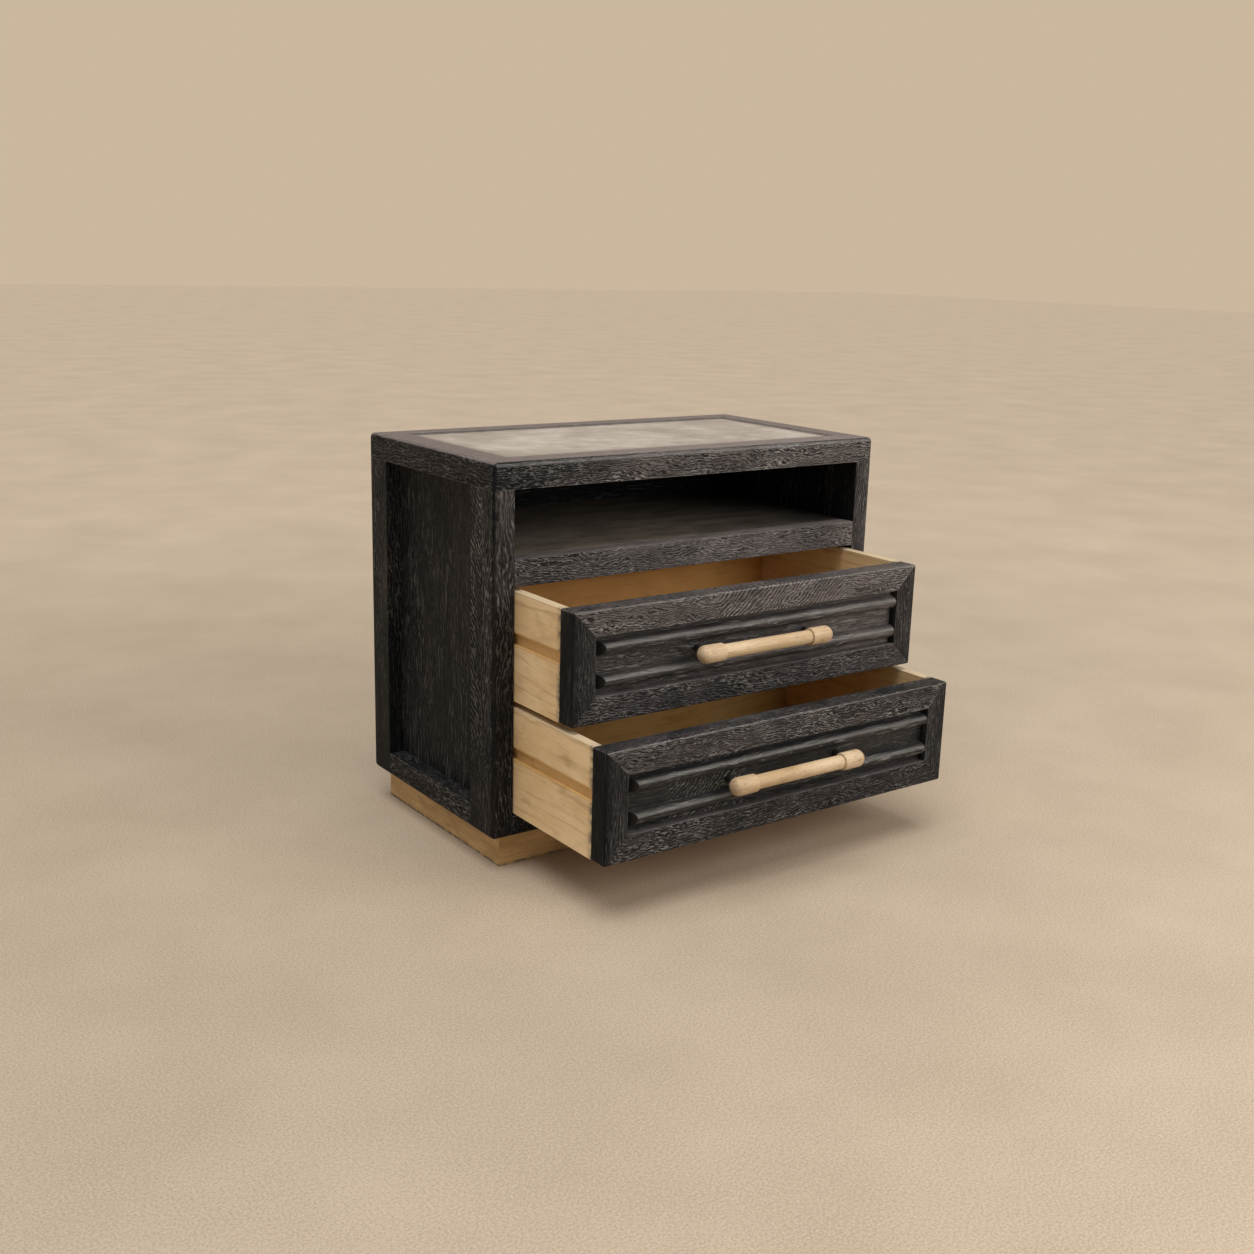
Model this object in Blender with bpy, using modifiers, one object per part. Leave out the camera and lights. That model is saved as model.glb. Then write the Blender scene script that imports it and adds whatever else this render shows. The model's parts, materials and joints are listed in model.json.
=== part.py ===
"""Two-drawer nightstand with an open cubby, standing with both drawers pulled out.

A mitred top frame sits on four corner posts. Framed panels close the sides, tenoned rails join the
posts, and the case stands on a recessed plinth. Each drawer hangs on two wooden runners that lie in
grooves along its sides. Its front is a mitred frame round a sunk panel with two beads, and it carries
a turned pull on two posts.

Metres, +Z up. The front faces -Y and the origin is on the floor under the centre of the case.
"""

import math

import bmesh
import bpy
from mathutils import Matrix, Vector

# Clearances
SEAM = 0.0003
CUT_MARGIN = 0.010
TOUCH = 0.000001

# Rounding
EDGE_ROUND = 0.008
FRONT_ROUND = 0.003
EDGE_EASE = 0.0012
ROUND_PROFILE = 0.5
ROUND_SEGMENTS = 4
EASE_SEGMENTS = 2
SMOOTH_ANGLE = math.radians(35)

# Case
CASE_WIDTH = 0.762
CASE_DEPTH = 0.404
CUBBY_HEIGHT = 0.104

# Top
TOP_THICKNESS = 0.041
TOP_BORDER = 0.055
TOP_FILLET_WIDTH = 0.007
TOP_FILLET_DROP = 0.001
TOP_LEDGE = 0.010
TOP_PANEL_THICKNESS = 0.012
TOP_PANEL_DROP = 0.0018

# Corner posts and framed sides
POST_THICKNESS = 0.036
FRONT_POST_DEPTH = 0.068
BACK_POST_DEPTH = 0.060
SIDE_RAIL_HEIGHT = 0.040
SIDE_PANEL_THICKNESS = 0.008
SIDE_REBATE = 0.008

# Joinery
TONGUE_LENGTH = 0.007
TONGUE_THICKNESS = 0.006
TENON_LENGTH = 0.012
TENON_SHOULDER = 0.006
REBATE_TO_TENON = 0.003

# Rails, shelf, bottom and back
SHELF_RAIL_HEIGHT = 0.042
BOTTOM_RAIL_HEIGHT = 0.034
RAIL_DEPTH = 0.028
SHELF_THICKNESS = 0.016
SHELF_CLEAT = 0.016
BOTTOM_BOARD_THICKNESS = 0.009
BACK_PANEL_THICKNESS = 0.009
BACK_REBATE = 0.010

# Plinth
PLINTH_HEIGHT = 0.053
PLINTH_BOARD = 0.022
PLINTH_SIDE_INSET = 0.022
PLINTH_FRONT_INSET = 0.017
PLINTH_BACK_INSET = 0.017

# Drawers in the case
DRAWER_HEIGHT = 0.171
DRAWER_SIDE_GAP = 0.0015
DRAWER_GAP_BELOW = 0.004
DRAWER_GAP_BETWEEN = 0.010
DRAWER_GAP_ABOVE = 0.006
DRAWER_BACK_GAP = 0.012
UPPER_DRAWER_OPEN = 0.156
LOWER_DRAWER_OPEN = 0.244

# Drawer fronts
FRONT_MEMBER = 0.040
FRONT_THICKNESS = 0.033
FRONT_RECESS = 0.014
FRONT_PANEL_THICKNESS = 0.010
BEAD_WIDTH = 0.022
BEAD_HEIGHT = 0.013
BEAD_MARGIN = 0.0095
BEAD_END_GAP = 0.008
BEAD_END_SLANT = 0.8
BEAD_STEPS = 14

# Drawer boxes and their runners
DRAWER_SIDE_THICKNESS = 0.016
DRAWER_BACK_THICKNESS = 0.014
DRAWER_BOTTOM_THICKNESS = 0.008
DRAWER_BOTTOM_RAISE = 0.012
DRAWER_BOTTOM_HOUSING = 0.006
SIDE_TONGUE_LENGTH = 0.008
SIDE_TONGUE_SHOULDER = 0.0015
SIDE_TONGUE_STOP = 0.030
RUNNER_GROOVE_HEIGHT = 0.018
RUNNER_GROOVE_DEPTH = 0.007
RUNNER_GROOVE_RISE = 0.012
RUNNER_PLAY = 0.001

# Turned pulls
PULL_LENGTH = 0.266
PULL_END_LENGTH = 0.045
PULL_END_DIAMETER = 0.028
PULL_SHOULDER_DIAMETER = 0.0275
PULL_BAR_DIAMETER = 0.022
PULL_TIP_LENGTH = 0.013
PULL_SHOULDER_ROUND = 0.0015
PULL_NECK_DEPTH = 0.0008
PULL_NECK_WIDTH = 0.003
PULL_FINGER_GAP = 0.0115
PULL_POST_DIAMETER = 0.012
PULL_POST_INSET = 0.024
PULL_POST_ENTRY = 0.012
TIP_STEPS = 6
SHOULDER_STEPS = 3
TURNED_STEPS = 28
TURNED_MERGE = 0.00001
POST_STEPS = 20

# Places in the case, worked out from the sizes above
HALF_WIDTH = CASE_WIDTH / 2
FRONT = -CASE_DEPTH / 2
BACK = CASE_DEPTH / 2
INNER_X = HALF_WIDTH - POST_THICKNESS
CASE_BOTTOM = PLINTH_HEIGHT
BOTTOM_RAIL_TOP = CASE_BOTTOM + BOTTOM_RAIL_HEIGHT
LOWER_DRAWER_Z = BOTTOM_RAIL_TOP + DRAWER_GAP_BELOW + DRAWER_HEIGHT / 2
UPPER_DRAWER_Z = LOWER_DRAWER_Z + DRAWER_HEIGHT + DRAWER_GAP_BETWEEN
SHELF_RAIL_BOTTOM = UPPER_DRAWER_Z + DRAWER_HEIGHT / 2 + DRAWER_GAP_ABOVE
SHELF_TOP = SHELF_RAIL_BOTTOM + SHELF_RAIL_HEIGHT
TOP_UNDERSIDE = SHELF_TOP + CUBBY_HEIGHT
CASE_TOP = TOP_UNDERSIDE + TOP_THICKNESS
RAIL_BACK = FRONT + RAIL_DEPTH
BACK_PANEL_FRONT = BACK - BACK_PANEL_THICKNESS
TONGUE_SETBACK = (SHELF_THICKNESS - TONGUE_THICKNESS) / 2

# Places in a drawer, whose own origin is the middle of its front's outer face
DRAWER_HALF_WIDTH = INNER_X - DRAWER_SIDE_GAP
DRAWER_HALF_HEIGHT = DRAWER_HEIGHT / 2
DRAWER_LENGTH = BACK_PANEL_FRONT - DRAWER_BACK_GAP - FRONT
DRAWER_INNER_X = DRAWER_HALF_WIDTH - DRAWER_SIDE_THICKNESS
DRAWER_BOTTOM_Z = DRAWER_BOTTOM_RAISE - DRAWER_HALF_HEIGHT
FRONT_HALF_OPENING = DRAWER_HALF_HEIGHT - FRONT_MEMBER
BEAD_Z = FRONT_HALF_OPENING - BEAD_MARGIN - BEAD_WIDTH / 2
PULL_Y = -PULL_FINGER_GAP - PULL_BAR_DIAMETER / 2
PULL_POST_X = PULL_LENGTH / 2 - PULL_POST_INSET
PULL_POST_TIP = PULL_Y + PULL_END_DIAMETER / 2 - PULL_POST_ENTRY

X = Vector((1, 0, 0))
Y = Vector((0, 1, 0))
Z = Vector((0, 0, 1))
SIDES = (("left", -1), ("right", 1))


def clear_scene():
    for thing in list(bpy.data.objects):
        bpy.data.objects.remove(thing, do_unlink=True)


def new_collection(name):
    collection = bpy.data.collections.new(name)
    bpy.context.scene.collection.children.link(collection)
    return collection


def new_material(name, colour, roughness, metallic=0.0):
    material = bpy.data.materials.new(name)
    material.use_nodes = True
    shader = material.node_tree.nodes["Principled BSDF"]
    shader.inputs["Base Color"].default_value = (*colour, 1.0)
    shader.inputs["Roughness"].default_value = roughness
    shader.inputs["Metallic"].default_value = metallic
    return material


clear_scene()
PARTS = new_collection("nightstand")
CUTTERS = new_collection("nightstand_cutters")
DARK_OAK = new_material("dark_oak", (0.026, 0.024, 0.023), 0.62)
PANEL_STONE = new_material("top_panel_greige", (0.27, 0.24, 0.205), 0.45)
PALE_PINE = new_material("pale_pine", (0.62, 0.43, 0.22), 0.60)
TURNED_OAK = new_material("turned_oak", (0.68, 0.52, 0.32), 0.55)
BLACK_STEEL = new_material("black_steel", (0.02, 0.02, 0.02), 0.45, 1.0)


def add_empty(name, location):
    empty = bpy.data.objects.new(name, None)
    empty.location = location
    PARTS.objects.link(empty)
    return empty


def add_object(name, shape, parent, collection):
    mesh = bpy.data.meshes.new(name)
    shape.to_mesh(mesh)
    shape.free()
    thing = bpy.data.objects.new(name, mesh)
    thing.parent = parent
    collection.objects.link(thing)
    return thing


def add_piece(name, shape, material, parent):
    piece = add_object(name, shape, parent, PARTS)
    piece.data.materials.append(material)
    piece.data.shade_smooth()
    piece.data.set_sharp_from_angle(angle=SMOOTH_ANGLE)
    return piece


def add_cutter(name, shape, parent):
    cutter = add_object(name, shape, parent, CUTTERS)
    cutter.hide_render = True
    cutter.display_type = "WIRE"
    return cutter


def combine(piece, operation, *others):
    for other in others:
        boolean = piece.modifiers.new(other.name, "BOOLEAN")
        boolean.operation = operation
        boolean.solver = "EXACT"
        boolean.object = other


def box(corner, opposite):
    """A box between two opposite corners, given in any order."""
    corner = Vector(corner)
    opposite = Vector(opposite)
    size = Vector(abs(a - b) for a, b in zip(corner, opposite))
    middle = Matrix.Translation((corner + opposite) / 2)
    shape = bmesh.new()
    bmesh.ops.create_cube(shape, size=1.0, matrix=middle @ Matrix.Diagonal(size.to_4d()))
    shape.normal_update()
    return shape


def prism(outline, sweep):
    """A flat outline moved along sweep."""
    shape = bmesh.new()
    face = shape.faces.new([shape.verts.new(point) for point in outline])
    swept = bmesh.ops.extrude_face_region(shape, geom=[face])["geom"]
    moved = [item for item in swept if isinstance(item, bmesh.types.BMVert)]
    bmesh.ops.translate(shape, verts=moved, vec=sweep)
    bmesh.ops.recalc_face_normals(shape, faces=shape.faces)
    return shape


def rod(start, end, diameter):
    """A round rod along Y."""
    start = Vector(start)
    end = Vector(end)
    turned = Matrix.Translation((start + end) / 2) @ Matrix.Rotation(math.pi / 2, 4, "X")
    shape = bmesh.new()
    bmesh.ops.create_cone(
        shape,
        cap_ends=True,
        segments=POST_STEPS,
        radius1=diameter / 2,
        radius2=diameter / 2,
        depth=(end - start).length,
        matrix=turned,
    )
    return shape


def faces_along(faces, direction):
    return [face for face in faces if face.normal.dot(direction) > math.cos(SMOOTH_ANGLE)]


def edges_at(shape, *ways):
    """The edges that lie on the shape's outermost planes in all of these directions."""
    reach = [(way, max(vert.co.dot(way) for vert in shape.verts) - TOUCH) for way in ways]
    return [
        edge
        for edge in shape.edges
        if all(vert.co.dot(way) > limit for vert in edge.verts for way, limit in reach)
    ]


def round_edges(shape, radius, segments, *corners):
    """Rounds the outer edges, each named by the directions of the two faces that meet in it."""
    edges = [edge for corner in corners for edge in edges_at(shape, *corner)]
    bmesh.ops.bevel(
        shape,
        geom=edges,
        offset=radius,
        segments=segments,
        profile=ROUND_PROFILE,
        affect="EDGES",
    )
    shape.normal_update()


def raise_face(shape, direction, margin, height):
    """Leaves a shoulder of this margin round the largest face that looks this way and raises the rest."""
    face = max(faces_along(shape.faces, direction), key=lambda found: found.calc_area())
    bmesh.ops.inset_individual(shape, faces=[face], thickness=margin, use_even_offset=True)
    raised = bmesh.ops.extrude_discrete_faces(shape, faces=[face])["faces"][0]
    bmesh.ops.translate(shape, verts=raised.verts, vec=direction * height)
    shape.normal_update()


def tongued_panel(name, low, high, normal, material, parent):
    """A panel with a tongue round its rim, and the cutter for the groove that takes the tongue."""
    low = Vector(low)
    high = Vector(high)
    flat = Vector(1 - abs(part) for part in normal)
    cheek = ((high - low).dot(normal) - TONGUE_THICKNESS) / 2
    tongue_low = low + normal * cheek - flat * TONGUE_LENGTH
    tongue_high = high - normal * cheek + flat * TONGUE_LENGTH
    shape = box(tongue_low, tongue_high)
    raise_face(shape, normal, TONGUE_LENGTH, cheek)
    raise_face(shape, -normal, TONGUE_LENGTH, cheek)
    panel = add_piece(name, shape, material, parent)
    room = Vector((SEAM, SEAM, SEAM))
    groove = add_cutter(f"{name}_groove", box(tongue_low - room, tongue_high + room), parent)
    return panel, groove


def tenoned_rail(name, low, high, along, shoulder, rounded, eased, parent, posts):
    """A rail with a stub tenon at each end, and the mortises for them in its two posts."""
    low = Vector(low)
    high = Vector(high)
    across = Vector(1 - abs(part) for part in along)
    gap = along * SEAM
    shape = box(low + gap, high - gap)
    raise_face(shape, along, shoulder, TENON_LENGTH)
    raise_face(shape, -along, shoulder, TENON_LENGTH)
    round_edges(shape, EDGE_ROUND, ROUND_SEGMENTS, *rounded)
    round_edges(shape, EDGE_EASE, EASE_SEGMENTS, *eased)
    rail = add_piece(name, shape, DARK_OAK, parent)
    reach = along * TENON_LENGTH + across * (SEAM - shoulder)
    mortise = add_cutter(f"{name}_mortise", box(low - reach, high + reach), parent)
    for post in posts:
        combine(post, "DIFFERENCE", mortise)
    return rail


def mitred_frame(names, slab, size, width, depth, placement, material, parent):
    """Four members cut from one rounded slab along the mitres at its corners.

    The frame lies in the XY plane of placement with its members in the order front, right, back,
    left, and size and depth are its outer size and its reach along Z.
    """
    members = {}
    half_seam = SEAM / math.sqrt(2)
    for turn, (side, name) in enumerate(names.items()):
        length, other = size if turn % 2 == 0 else reversed(size)
        outer = length / 2 + CUT_MARGIN - half_seam
        inner = length / 2 - width - half_seam
        outer_y = -other / 2 - CUT_MARGIN
        inner_y = -other / 2 + width
        corners = ((-outer, outer_y), (outer, outer_y), (inner, inner_y), (-inner, inner_y))
        base = depth[0] - CUT_MARGIN
        wedge_shape = prism(
            [Vector((x, y, base)) for x, y in corners], Z * (depth[1] + CUT_MARGIN - base)
        )
        wedge_shape.transform(placement @ Matrix.Rotation(turn * math.pi / 2, 4, "Z"))
        wedge = add_cutter(f"{name}_mitre", wedge_shape, parent)
        member = add_piece(name, slab.copy(), material, parent)
        combine(member, "INTERSECT", wedge)
        members[side] = member
    slab.free()
    return members


def build_top(case):
    slab = box((-HALF_WIDTH, FRONT, TOP_UNDERSIDE), (HALF_WIDTH, BACK, CASE_TOP))
    corners = [(side * X, end * Y) for side in (-1, 1) for end in (-1, 1)]
    rims = [(way, Z) for way in (X, -X, Y, -Y)]
    round_edges(slab, EDGE_ROUND, ROUND_SEGMENTS, *corners, *rims)
    members = mitred_frame(
        {side: f"top_{side}_rail" for side in ("front", "right", "back", "left")},
        slab,
        (CASE_WIDTH, CASE_DEPTH),
        TOP_BORDER + TOP_LEDGE,
        (TOP_UNDERSIDE, CASE_TOP),
        Matrix.Identity(4),
        DARK_OAK,
        case,
    )
    panel_x = HALF_WIDTH - TOP_BORDER
    panel_y = BACK - TOP_BORDER
    panel_top = CASE_TOP - TOP_PANEL_DROP
    ledge_z = panel_top - TOP_PANEL_THICKNESS
    over = CASE_TOP + CUT_MARGIN
    pocket = add_cutter(
        "top_panel_pocket",
        box((-panel_x, -panel_y, ledge_z - SEAM), (panel_x, panel_y, over)),
        case,
    )
    fillet_x = panel_x + TOP_FILLET_WIDTH
    fillet_y = panel_y + TOP_FILLET_WIDTH
    fillet = add_cutter(
        "top_fillet",
        box((-fillet_x, -fillet_y, CASE_TOP - TOP_FILLET_DROP), (fillet_x, fillet_y, over)),
        case,
    )
    for member in members.values():
        combine(member, "DIFFERENCE", pocket, fillet)
    panel = box(
        (SEAM - panel_x, SEAM - panel_y, ledge_z), (panel_x - SEAM, panel_y - SEAM, panel_top)
    )
    add_piece("top_panel", panel, PANEL_STONE, case)


def build_post(name, side, facing, depth, case):
    """A corner post, rounded down its outer corner and under its foot."""
    outer_y = facing * BACK
    shape = box(
        (side * HALF_WIDTH, outer_y, CASE_BOTTOM),
        (side * INNER_X, outer_y - facing * depth, TOP_UNDERSIDE - SEAM),
    )
    outward = side * X
    onward = facing * Y
    round_edges(
        shape, EDGE_ROUND, ROUND_SEGMENTS, (outward, onward), (outward, -Z), (onward, -Z)
    )
    round_edges(shape, EDGE_EASE, EASE_SEGMENTS, (outward, -onward), (-outward, onward))
    return add_piece(name, shape, DARK_OAK, case)


def build_posts(case):
    posts = {}
    for side_name, side in SIDES:
        posts[side, "front"] = build_post(
            f"{side_name}_front_post", side, -1, FRONT_POST_DEPTH, case
        )
        posts[side, "back"] = build_post(f"{side_name}_back_post", side, 1, BACK_POST_DEPTH, case)
    return posts


def build_side(side_name, side, posts, case):
    """A side frame's lower rail and the thin sunk panel that lies in a rebate on the inside."""
    front = FRONT + FRONT_POST_DEPTH
    back = BACK - BACK_POST_DEPTH
    inner, outer = sorted((side * INNER_X, side * HALF_WIDTH))
    rail_top = CASE_BOTTOM + SIDE_RAIL_HEIGHT
    pair = [posts[side, "front"], posts[side, "back"]]
    rail = tenoned_rail(
        f"{side_name}_bottom_rail",
        (inner, front, CASE_BOTTOM),
        (outer, back, rail_top),
        Y,
        max(SIDE_PANEL_THICKNESS, SIDE_REBATE) + REBATE_TO_TENON,
        [(side * X, -Z)],
        [(side * X, Z)],
        case,
        pair,
    )
    face_x = side * (INNER_X + SIDE_PANEL_THICKNESS)
    rebate_front = front - SIDE_REBATE
    rebate_back = back + SIDE_REBATE
    rebate_bottom = rail_top - SIDE_REBATE
    panel = box(
        (side * INNER_X, rebate_front + SEAM, rebate_bottom + SEAM),
        (face_x, rebate_back - SEAM, TOP_UNDERSIDE - SEAM),
    )
    add_piece(f"{side_name}_side_panel", panel, DARK_OAK, case)
    rebate = add_cutter(
        f"{side_name}_side_rebate",
        box(
            (side * (INNER_X - CUT_MARGIN), rebate_front, rebate_bottom),
            (face_x + side * SEAM, rebate_back, TOP_UNDERSIDE + CUT_MARGIN),
        ),
        case,
    )
    for piece in (*pair, rail):
        combine(piece, "DIFFERENCE", rebate)


def build_front_and_back_rails(posts, case):
    fronts = [posts[-1, "front"], posts[1, "front"]]
    backs = [posts[-1, "back"], posts[1, "back"]]
    shelf_rail = tenoned_rail(
        "shelf_rail",
        (-INNER_X, FRONT, SHELF_RAIL_BOTTOM),
        (INNER_X, RAIL_BACK, SHELF_TOP),
        X,
        TENON_SHOULDER,
        [],
        [(-Y, Z), (-Y, -Z)],
        case,
        fronts,
    )
    tenoned_rail(
        "bottom_rail",
        (-INNER_X, FRONT, CASE_BOTTOM),
        (INNER_X, RAIL_BACK, BOTTOM_RAIL_TOP),
        X,
        TENON_SHOULDER,
        [(-Y, -Z)],
        [(-Y, Z)],
        case,
        fronts,
    )
    tenoned_rail(
        "back_bottom_rail",
        (-INNER_X, BACK_PANEL_FRONT - SEAM - RAIL_DEPTH, CASE_BOTTOM),
        (INNER_X, BACK_PANEL_FRONT - SEAM, BOTTOM_RAIL_TOP),
        X,
        TENON_SHOULDER,
        [],
        [(-Y, Z)],
        case,
        backs,
    )
    return shelf_rail


def build_shelf(shelf_rail, case):
    """The cubby's floor, tongued into the shelf rail and carried by a cleat at each end."""
    underside = SHELF_TOP - SHELF_THICKNESS
    front = RAIL_BACK + SEAM
    back = BACK_PANEL_FRONT - SEAM
    end = INNER_X - SEAM
    shape = box((-end, front, underside), (end, back, SHELF_TOP))
    raise_face(shape, -Y, TONGUE_SETBACK, TONGUE_LENGTH)
    add_piece("shelf_board", shape, DARK_OAK, case)
    tongue_end = end - TONGUE_SETBACK + SEAM
    groove = add_cutter(
        "shelf_groove",
        box(
            (-tongue_end, RAIL_BACK - TONGUE_LENGTH, underside + TONGUE_SETBACK - SEAM),
            (tongue_end, RAIL_BACK + CUT_MARGIN, SHELF_TOP - TONGUE_SETBACK + SEAM),
        ),
        case,
    )
    combine(shelf_rail, "DIFFERENCE", groove)
    cleat_top = underside - SEAM
    for side_name, side in SIDES:
        cleat = box(
            (side * end, front, cleat_top - SHELF_CLEAT),
            (side * (end - SHELF_CLEAT), back, cleat_top),
        )
        add_piece(f"{side_name}_shelf_cleat", cleat, PALE_PINE, case)


def build_bottom_and_back(posts, case):
    end = INNER_X - SEAM
    board = box(
        (-end, RAIL_BACK + SEAM, CASE_BOTTOM),
        (end, BACK_PANEL_FRONT - RAIL_DEPTH - 2 * SEAM, CASE_BOTTOM + BOTTOM_BOARD_THICKNESS),
    )
    add_piece("bottom_board", board, DARK_OAK, case)
    rebate_x = INNER_X + BACK_REBATE
    panel = box(
        (SEAM - rebate_x, BACK_PANEL_FRONT, CASE_BOTTOM), (rebate_x - SEAM, BACK, TOP_UNDERSIDE - SEAM)
    )
    add_piece("back_panel", panel, DARK_OAK, case)
    rebate = add_cutter(
        "back_rebate",
        box(
            (-rebate_x, BACK_PANEL_FRONT - SEAM, CASE_BOTTOM - CUT_MARGIN),
            (rebate_x, BACK + CUT_MARGIN, TOP_UNDERSIDE + CUT_MARGIN),
        ),
        case,
    )
    for side in (-1, 1):
        combine(posts[side, "back"], "DIFFERENCE", rebate)


def build_runners(drawer_name, drawer_z, case):
    """Wooden strips on the case sides. Their front ends stop the closed drawer."""
    groove_top = drawer_z + RUNNER_GROOVE_RISE + RUNNER_GROOVE_HEIGHT / 2
    groove_bottom = groove_top - RUNNER_GROOVE_HEIGHT
    reach = INNER_X - DRAWER_SIDE_GAP - RUNNER_GROOVE_DEPTH + RUNNER_PLAY
    for side_name, side in SIDES:
        strip = box(
            (side * (INNER_X - SEAM), FRONT + FRONT_THICKNESS + SEAM, groove_bottom + RUNNER_PLAY),
            (side * reach, BACK_PANEL_FRONT - SEAM, groove_top - SEAM),
        )
        add_piece(f"{drawer_name}_{side_name}_runner", strip, PALE_PINE, case)


def build_plinth(case):
    left = PLINTH_SIDE_INSET - HALF_WIDTH
    front = FRONT + PLINTH_FRONT_INSET
    back = BACK - PLINTH_BACK_INSET
    top = PLINTH_HEIGHT - SEAM
    slab = box((left, front, 0), (-left, back, top))
    corners = [(side * X, end * Y) for side in (-1, 1) for end in (-1, 1)]
    round_edges(slab, EDGE_EASE, EASE_SEGMENTS, *corners)
    mitred_frame(
        {side: f"plinth_{side}_board" for side in ("front", "right", "back", "left")},
        slab,
        (-2 * left, back - front),
        PLINTH_BOARD,
        (0, top),
        Matrix.Translation((0, (front + back) / 2, 0)),
        PALE_PINE,
        case,
    )
    inner_front = front + PLINTH_BOARD + SEAM
    inner_back = back - PLINTH_BOARD - SEAM
    rail = box((-PLINTH_BOARD / 2, inner_front, 0), (PLINTH_BOARD / 2, inner_back, top))
    add_piece("plinth_cross_rail", rail, PALE_PINE, case)


def bead_shape(left, right, z):
    """A half-round bead that is cut back at a slant on the left and meets the frame on the right."""
    foot = Vector((left, FRONT_RECESS - SEAM, z))
    angles = [math.pi * step / BEAD_STEPS for step in range(BEAD_STEPS + 1)]
    outline = [
        foot + Vector((0, -BEAD_HEIGHT * math.sin(angle), BEAD_WIDTH / 2 * math.cos(angle)))
        for angle in angles
    ]
    shape = prism(outline, X * (right - left))
    for vert in shape.verts:
        if vert.co.x < 0:
            vert.co.x += (foot.y - vert.co.y) * BEAD_END_SLANT
    shape.normal_update()
    return shape


def build_drawer_front(name, drawer):
    """The mitred frame, its sunk panel and the two beads on the panel."""
    slab = box(
        (-DRAWER_HALF_WIDTH, 0, -DRAWER_HALF_HEIGHT),
        (DRAWER_HALF_WIDTH, FRONT_THICKNESS, DRAWER_HALF_HEIGHT),
    )
    corners = [(side * X, end * Z) for side in (-1, 1) for end in (-1, 1)]
    rims = [(way, -Y) for way in (X, -X, Z, -Z)]
    round_edges(slab, FRONT_ROUND, ROUND_SEGMENTS, *corners, *rims)
    members = mitred_frame(
        {
            "bottom": f"{name}_front_bottom_rail",
            "right": f"{name}_front_right_stile",
            "top": f"{name}_front_top_rail",
            "left": f"{name}_front_left_stile",
        },
        slab,
        (2 * DRAWER_HALF_WIDTH, DRAWER_HEIGHT),
        FRONT_MEMBER,
        (-FRONT_THICKNESS, 0),
        Matrix.Rotation(math.pi / 2, 4, "X"),
        DARK_OAK,
        drawer,
    )
    half_width = DRAWER_HALF_WIDTH - FRONT_MEMBER
    panel_x = half_width - SEAM
    panel_z = FRONT_HALF_OPENING - SEAM
    _, groove = tongued_panel(
        f"{name}_front_panel",
        (-panel_x, FRONT_RECESS, -panel_z),
        (panel_x, FRONT_RECESS + FRONT_PANEL_THICKNESS, panel_z),
        Y,
        DARK_OAK,
        drawer,
    )
    for member in members.values():
        combine(member, "DIFFERENCE", groove)
    for place, bead_z in (("top", BEAD_Z), ("bottom", -BEAD_Z)):
        bead = bead_shape(BEAD_END_GAP - half_width, half_width - SEAM, bead_z)
        add_piece(f"{name}_{place}_bead", bead, DARK_OAK, drawer)
    return members


def build_drawer_box(name, members, drawer):
    """Two grooved sides, a back between them, and a bottom housed in the sides and the front."""
    floor_x = DRAWER_INNER_X + DRAWER_BOTTOM_HOUSING
    floor_front = FRONT_THICKNESS - DRAWER_BOTTOM_HOUSING
    floor_top = DRAWER_BOTTOM_Z + DRAWER_BOTTOM_THICKNESS
    floor = box((-floor_x, floor_front, DRAWER_BOTTOM_Z), (floor_x, DRAWER_LENGTH, floor_top))
    add_piece(f"{name}_drawer_bottom", floor, PALE_PINE, drawer)
    housing = add_cutter(
        f"{name}_bottom_housing",
        box(
            (-floor_x - SEAM, floor_front - SEAM, DRAWER_BOTTOM_Z - SEAM),
            (floor_x + SEAM, DRAWER_LENGTH + CUT_MARGIN, floor_top + SEAM),
        ),
        drawer,
    )
    for place in ("bottom", "left", "right"):
        combine(members[place], "DIFFERENCE", housing)
    back_end = DRAWER_INNER_X - SEAM
    back = box(
        (-back_end, DRAWER_LENGTH - DRAWER_BACK_THICKNESS, floor_top + SEAM),
        (back_end, DRAWER_LENGTH, DRAWER_HALF_HEIGHT),
    )
    add_piece(f"{name}_drawer_back", back, PALE_PINE, drawer)
    for side_name, side in SIDES:
        build_drawer_side(name, side_name, side, members[side_name], housing, drawer)


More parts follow.
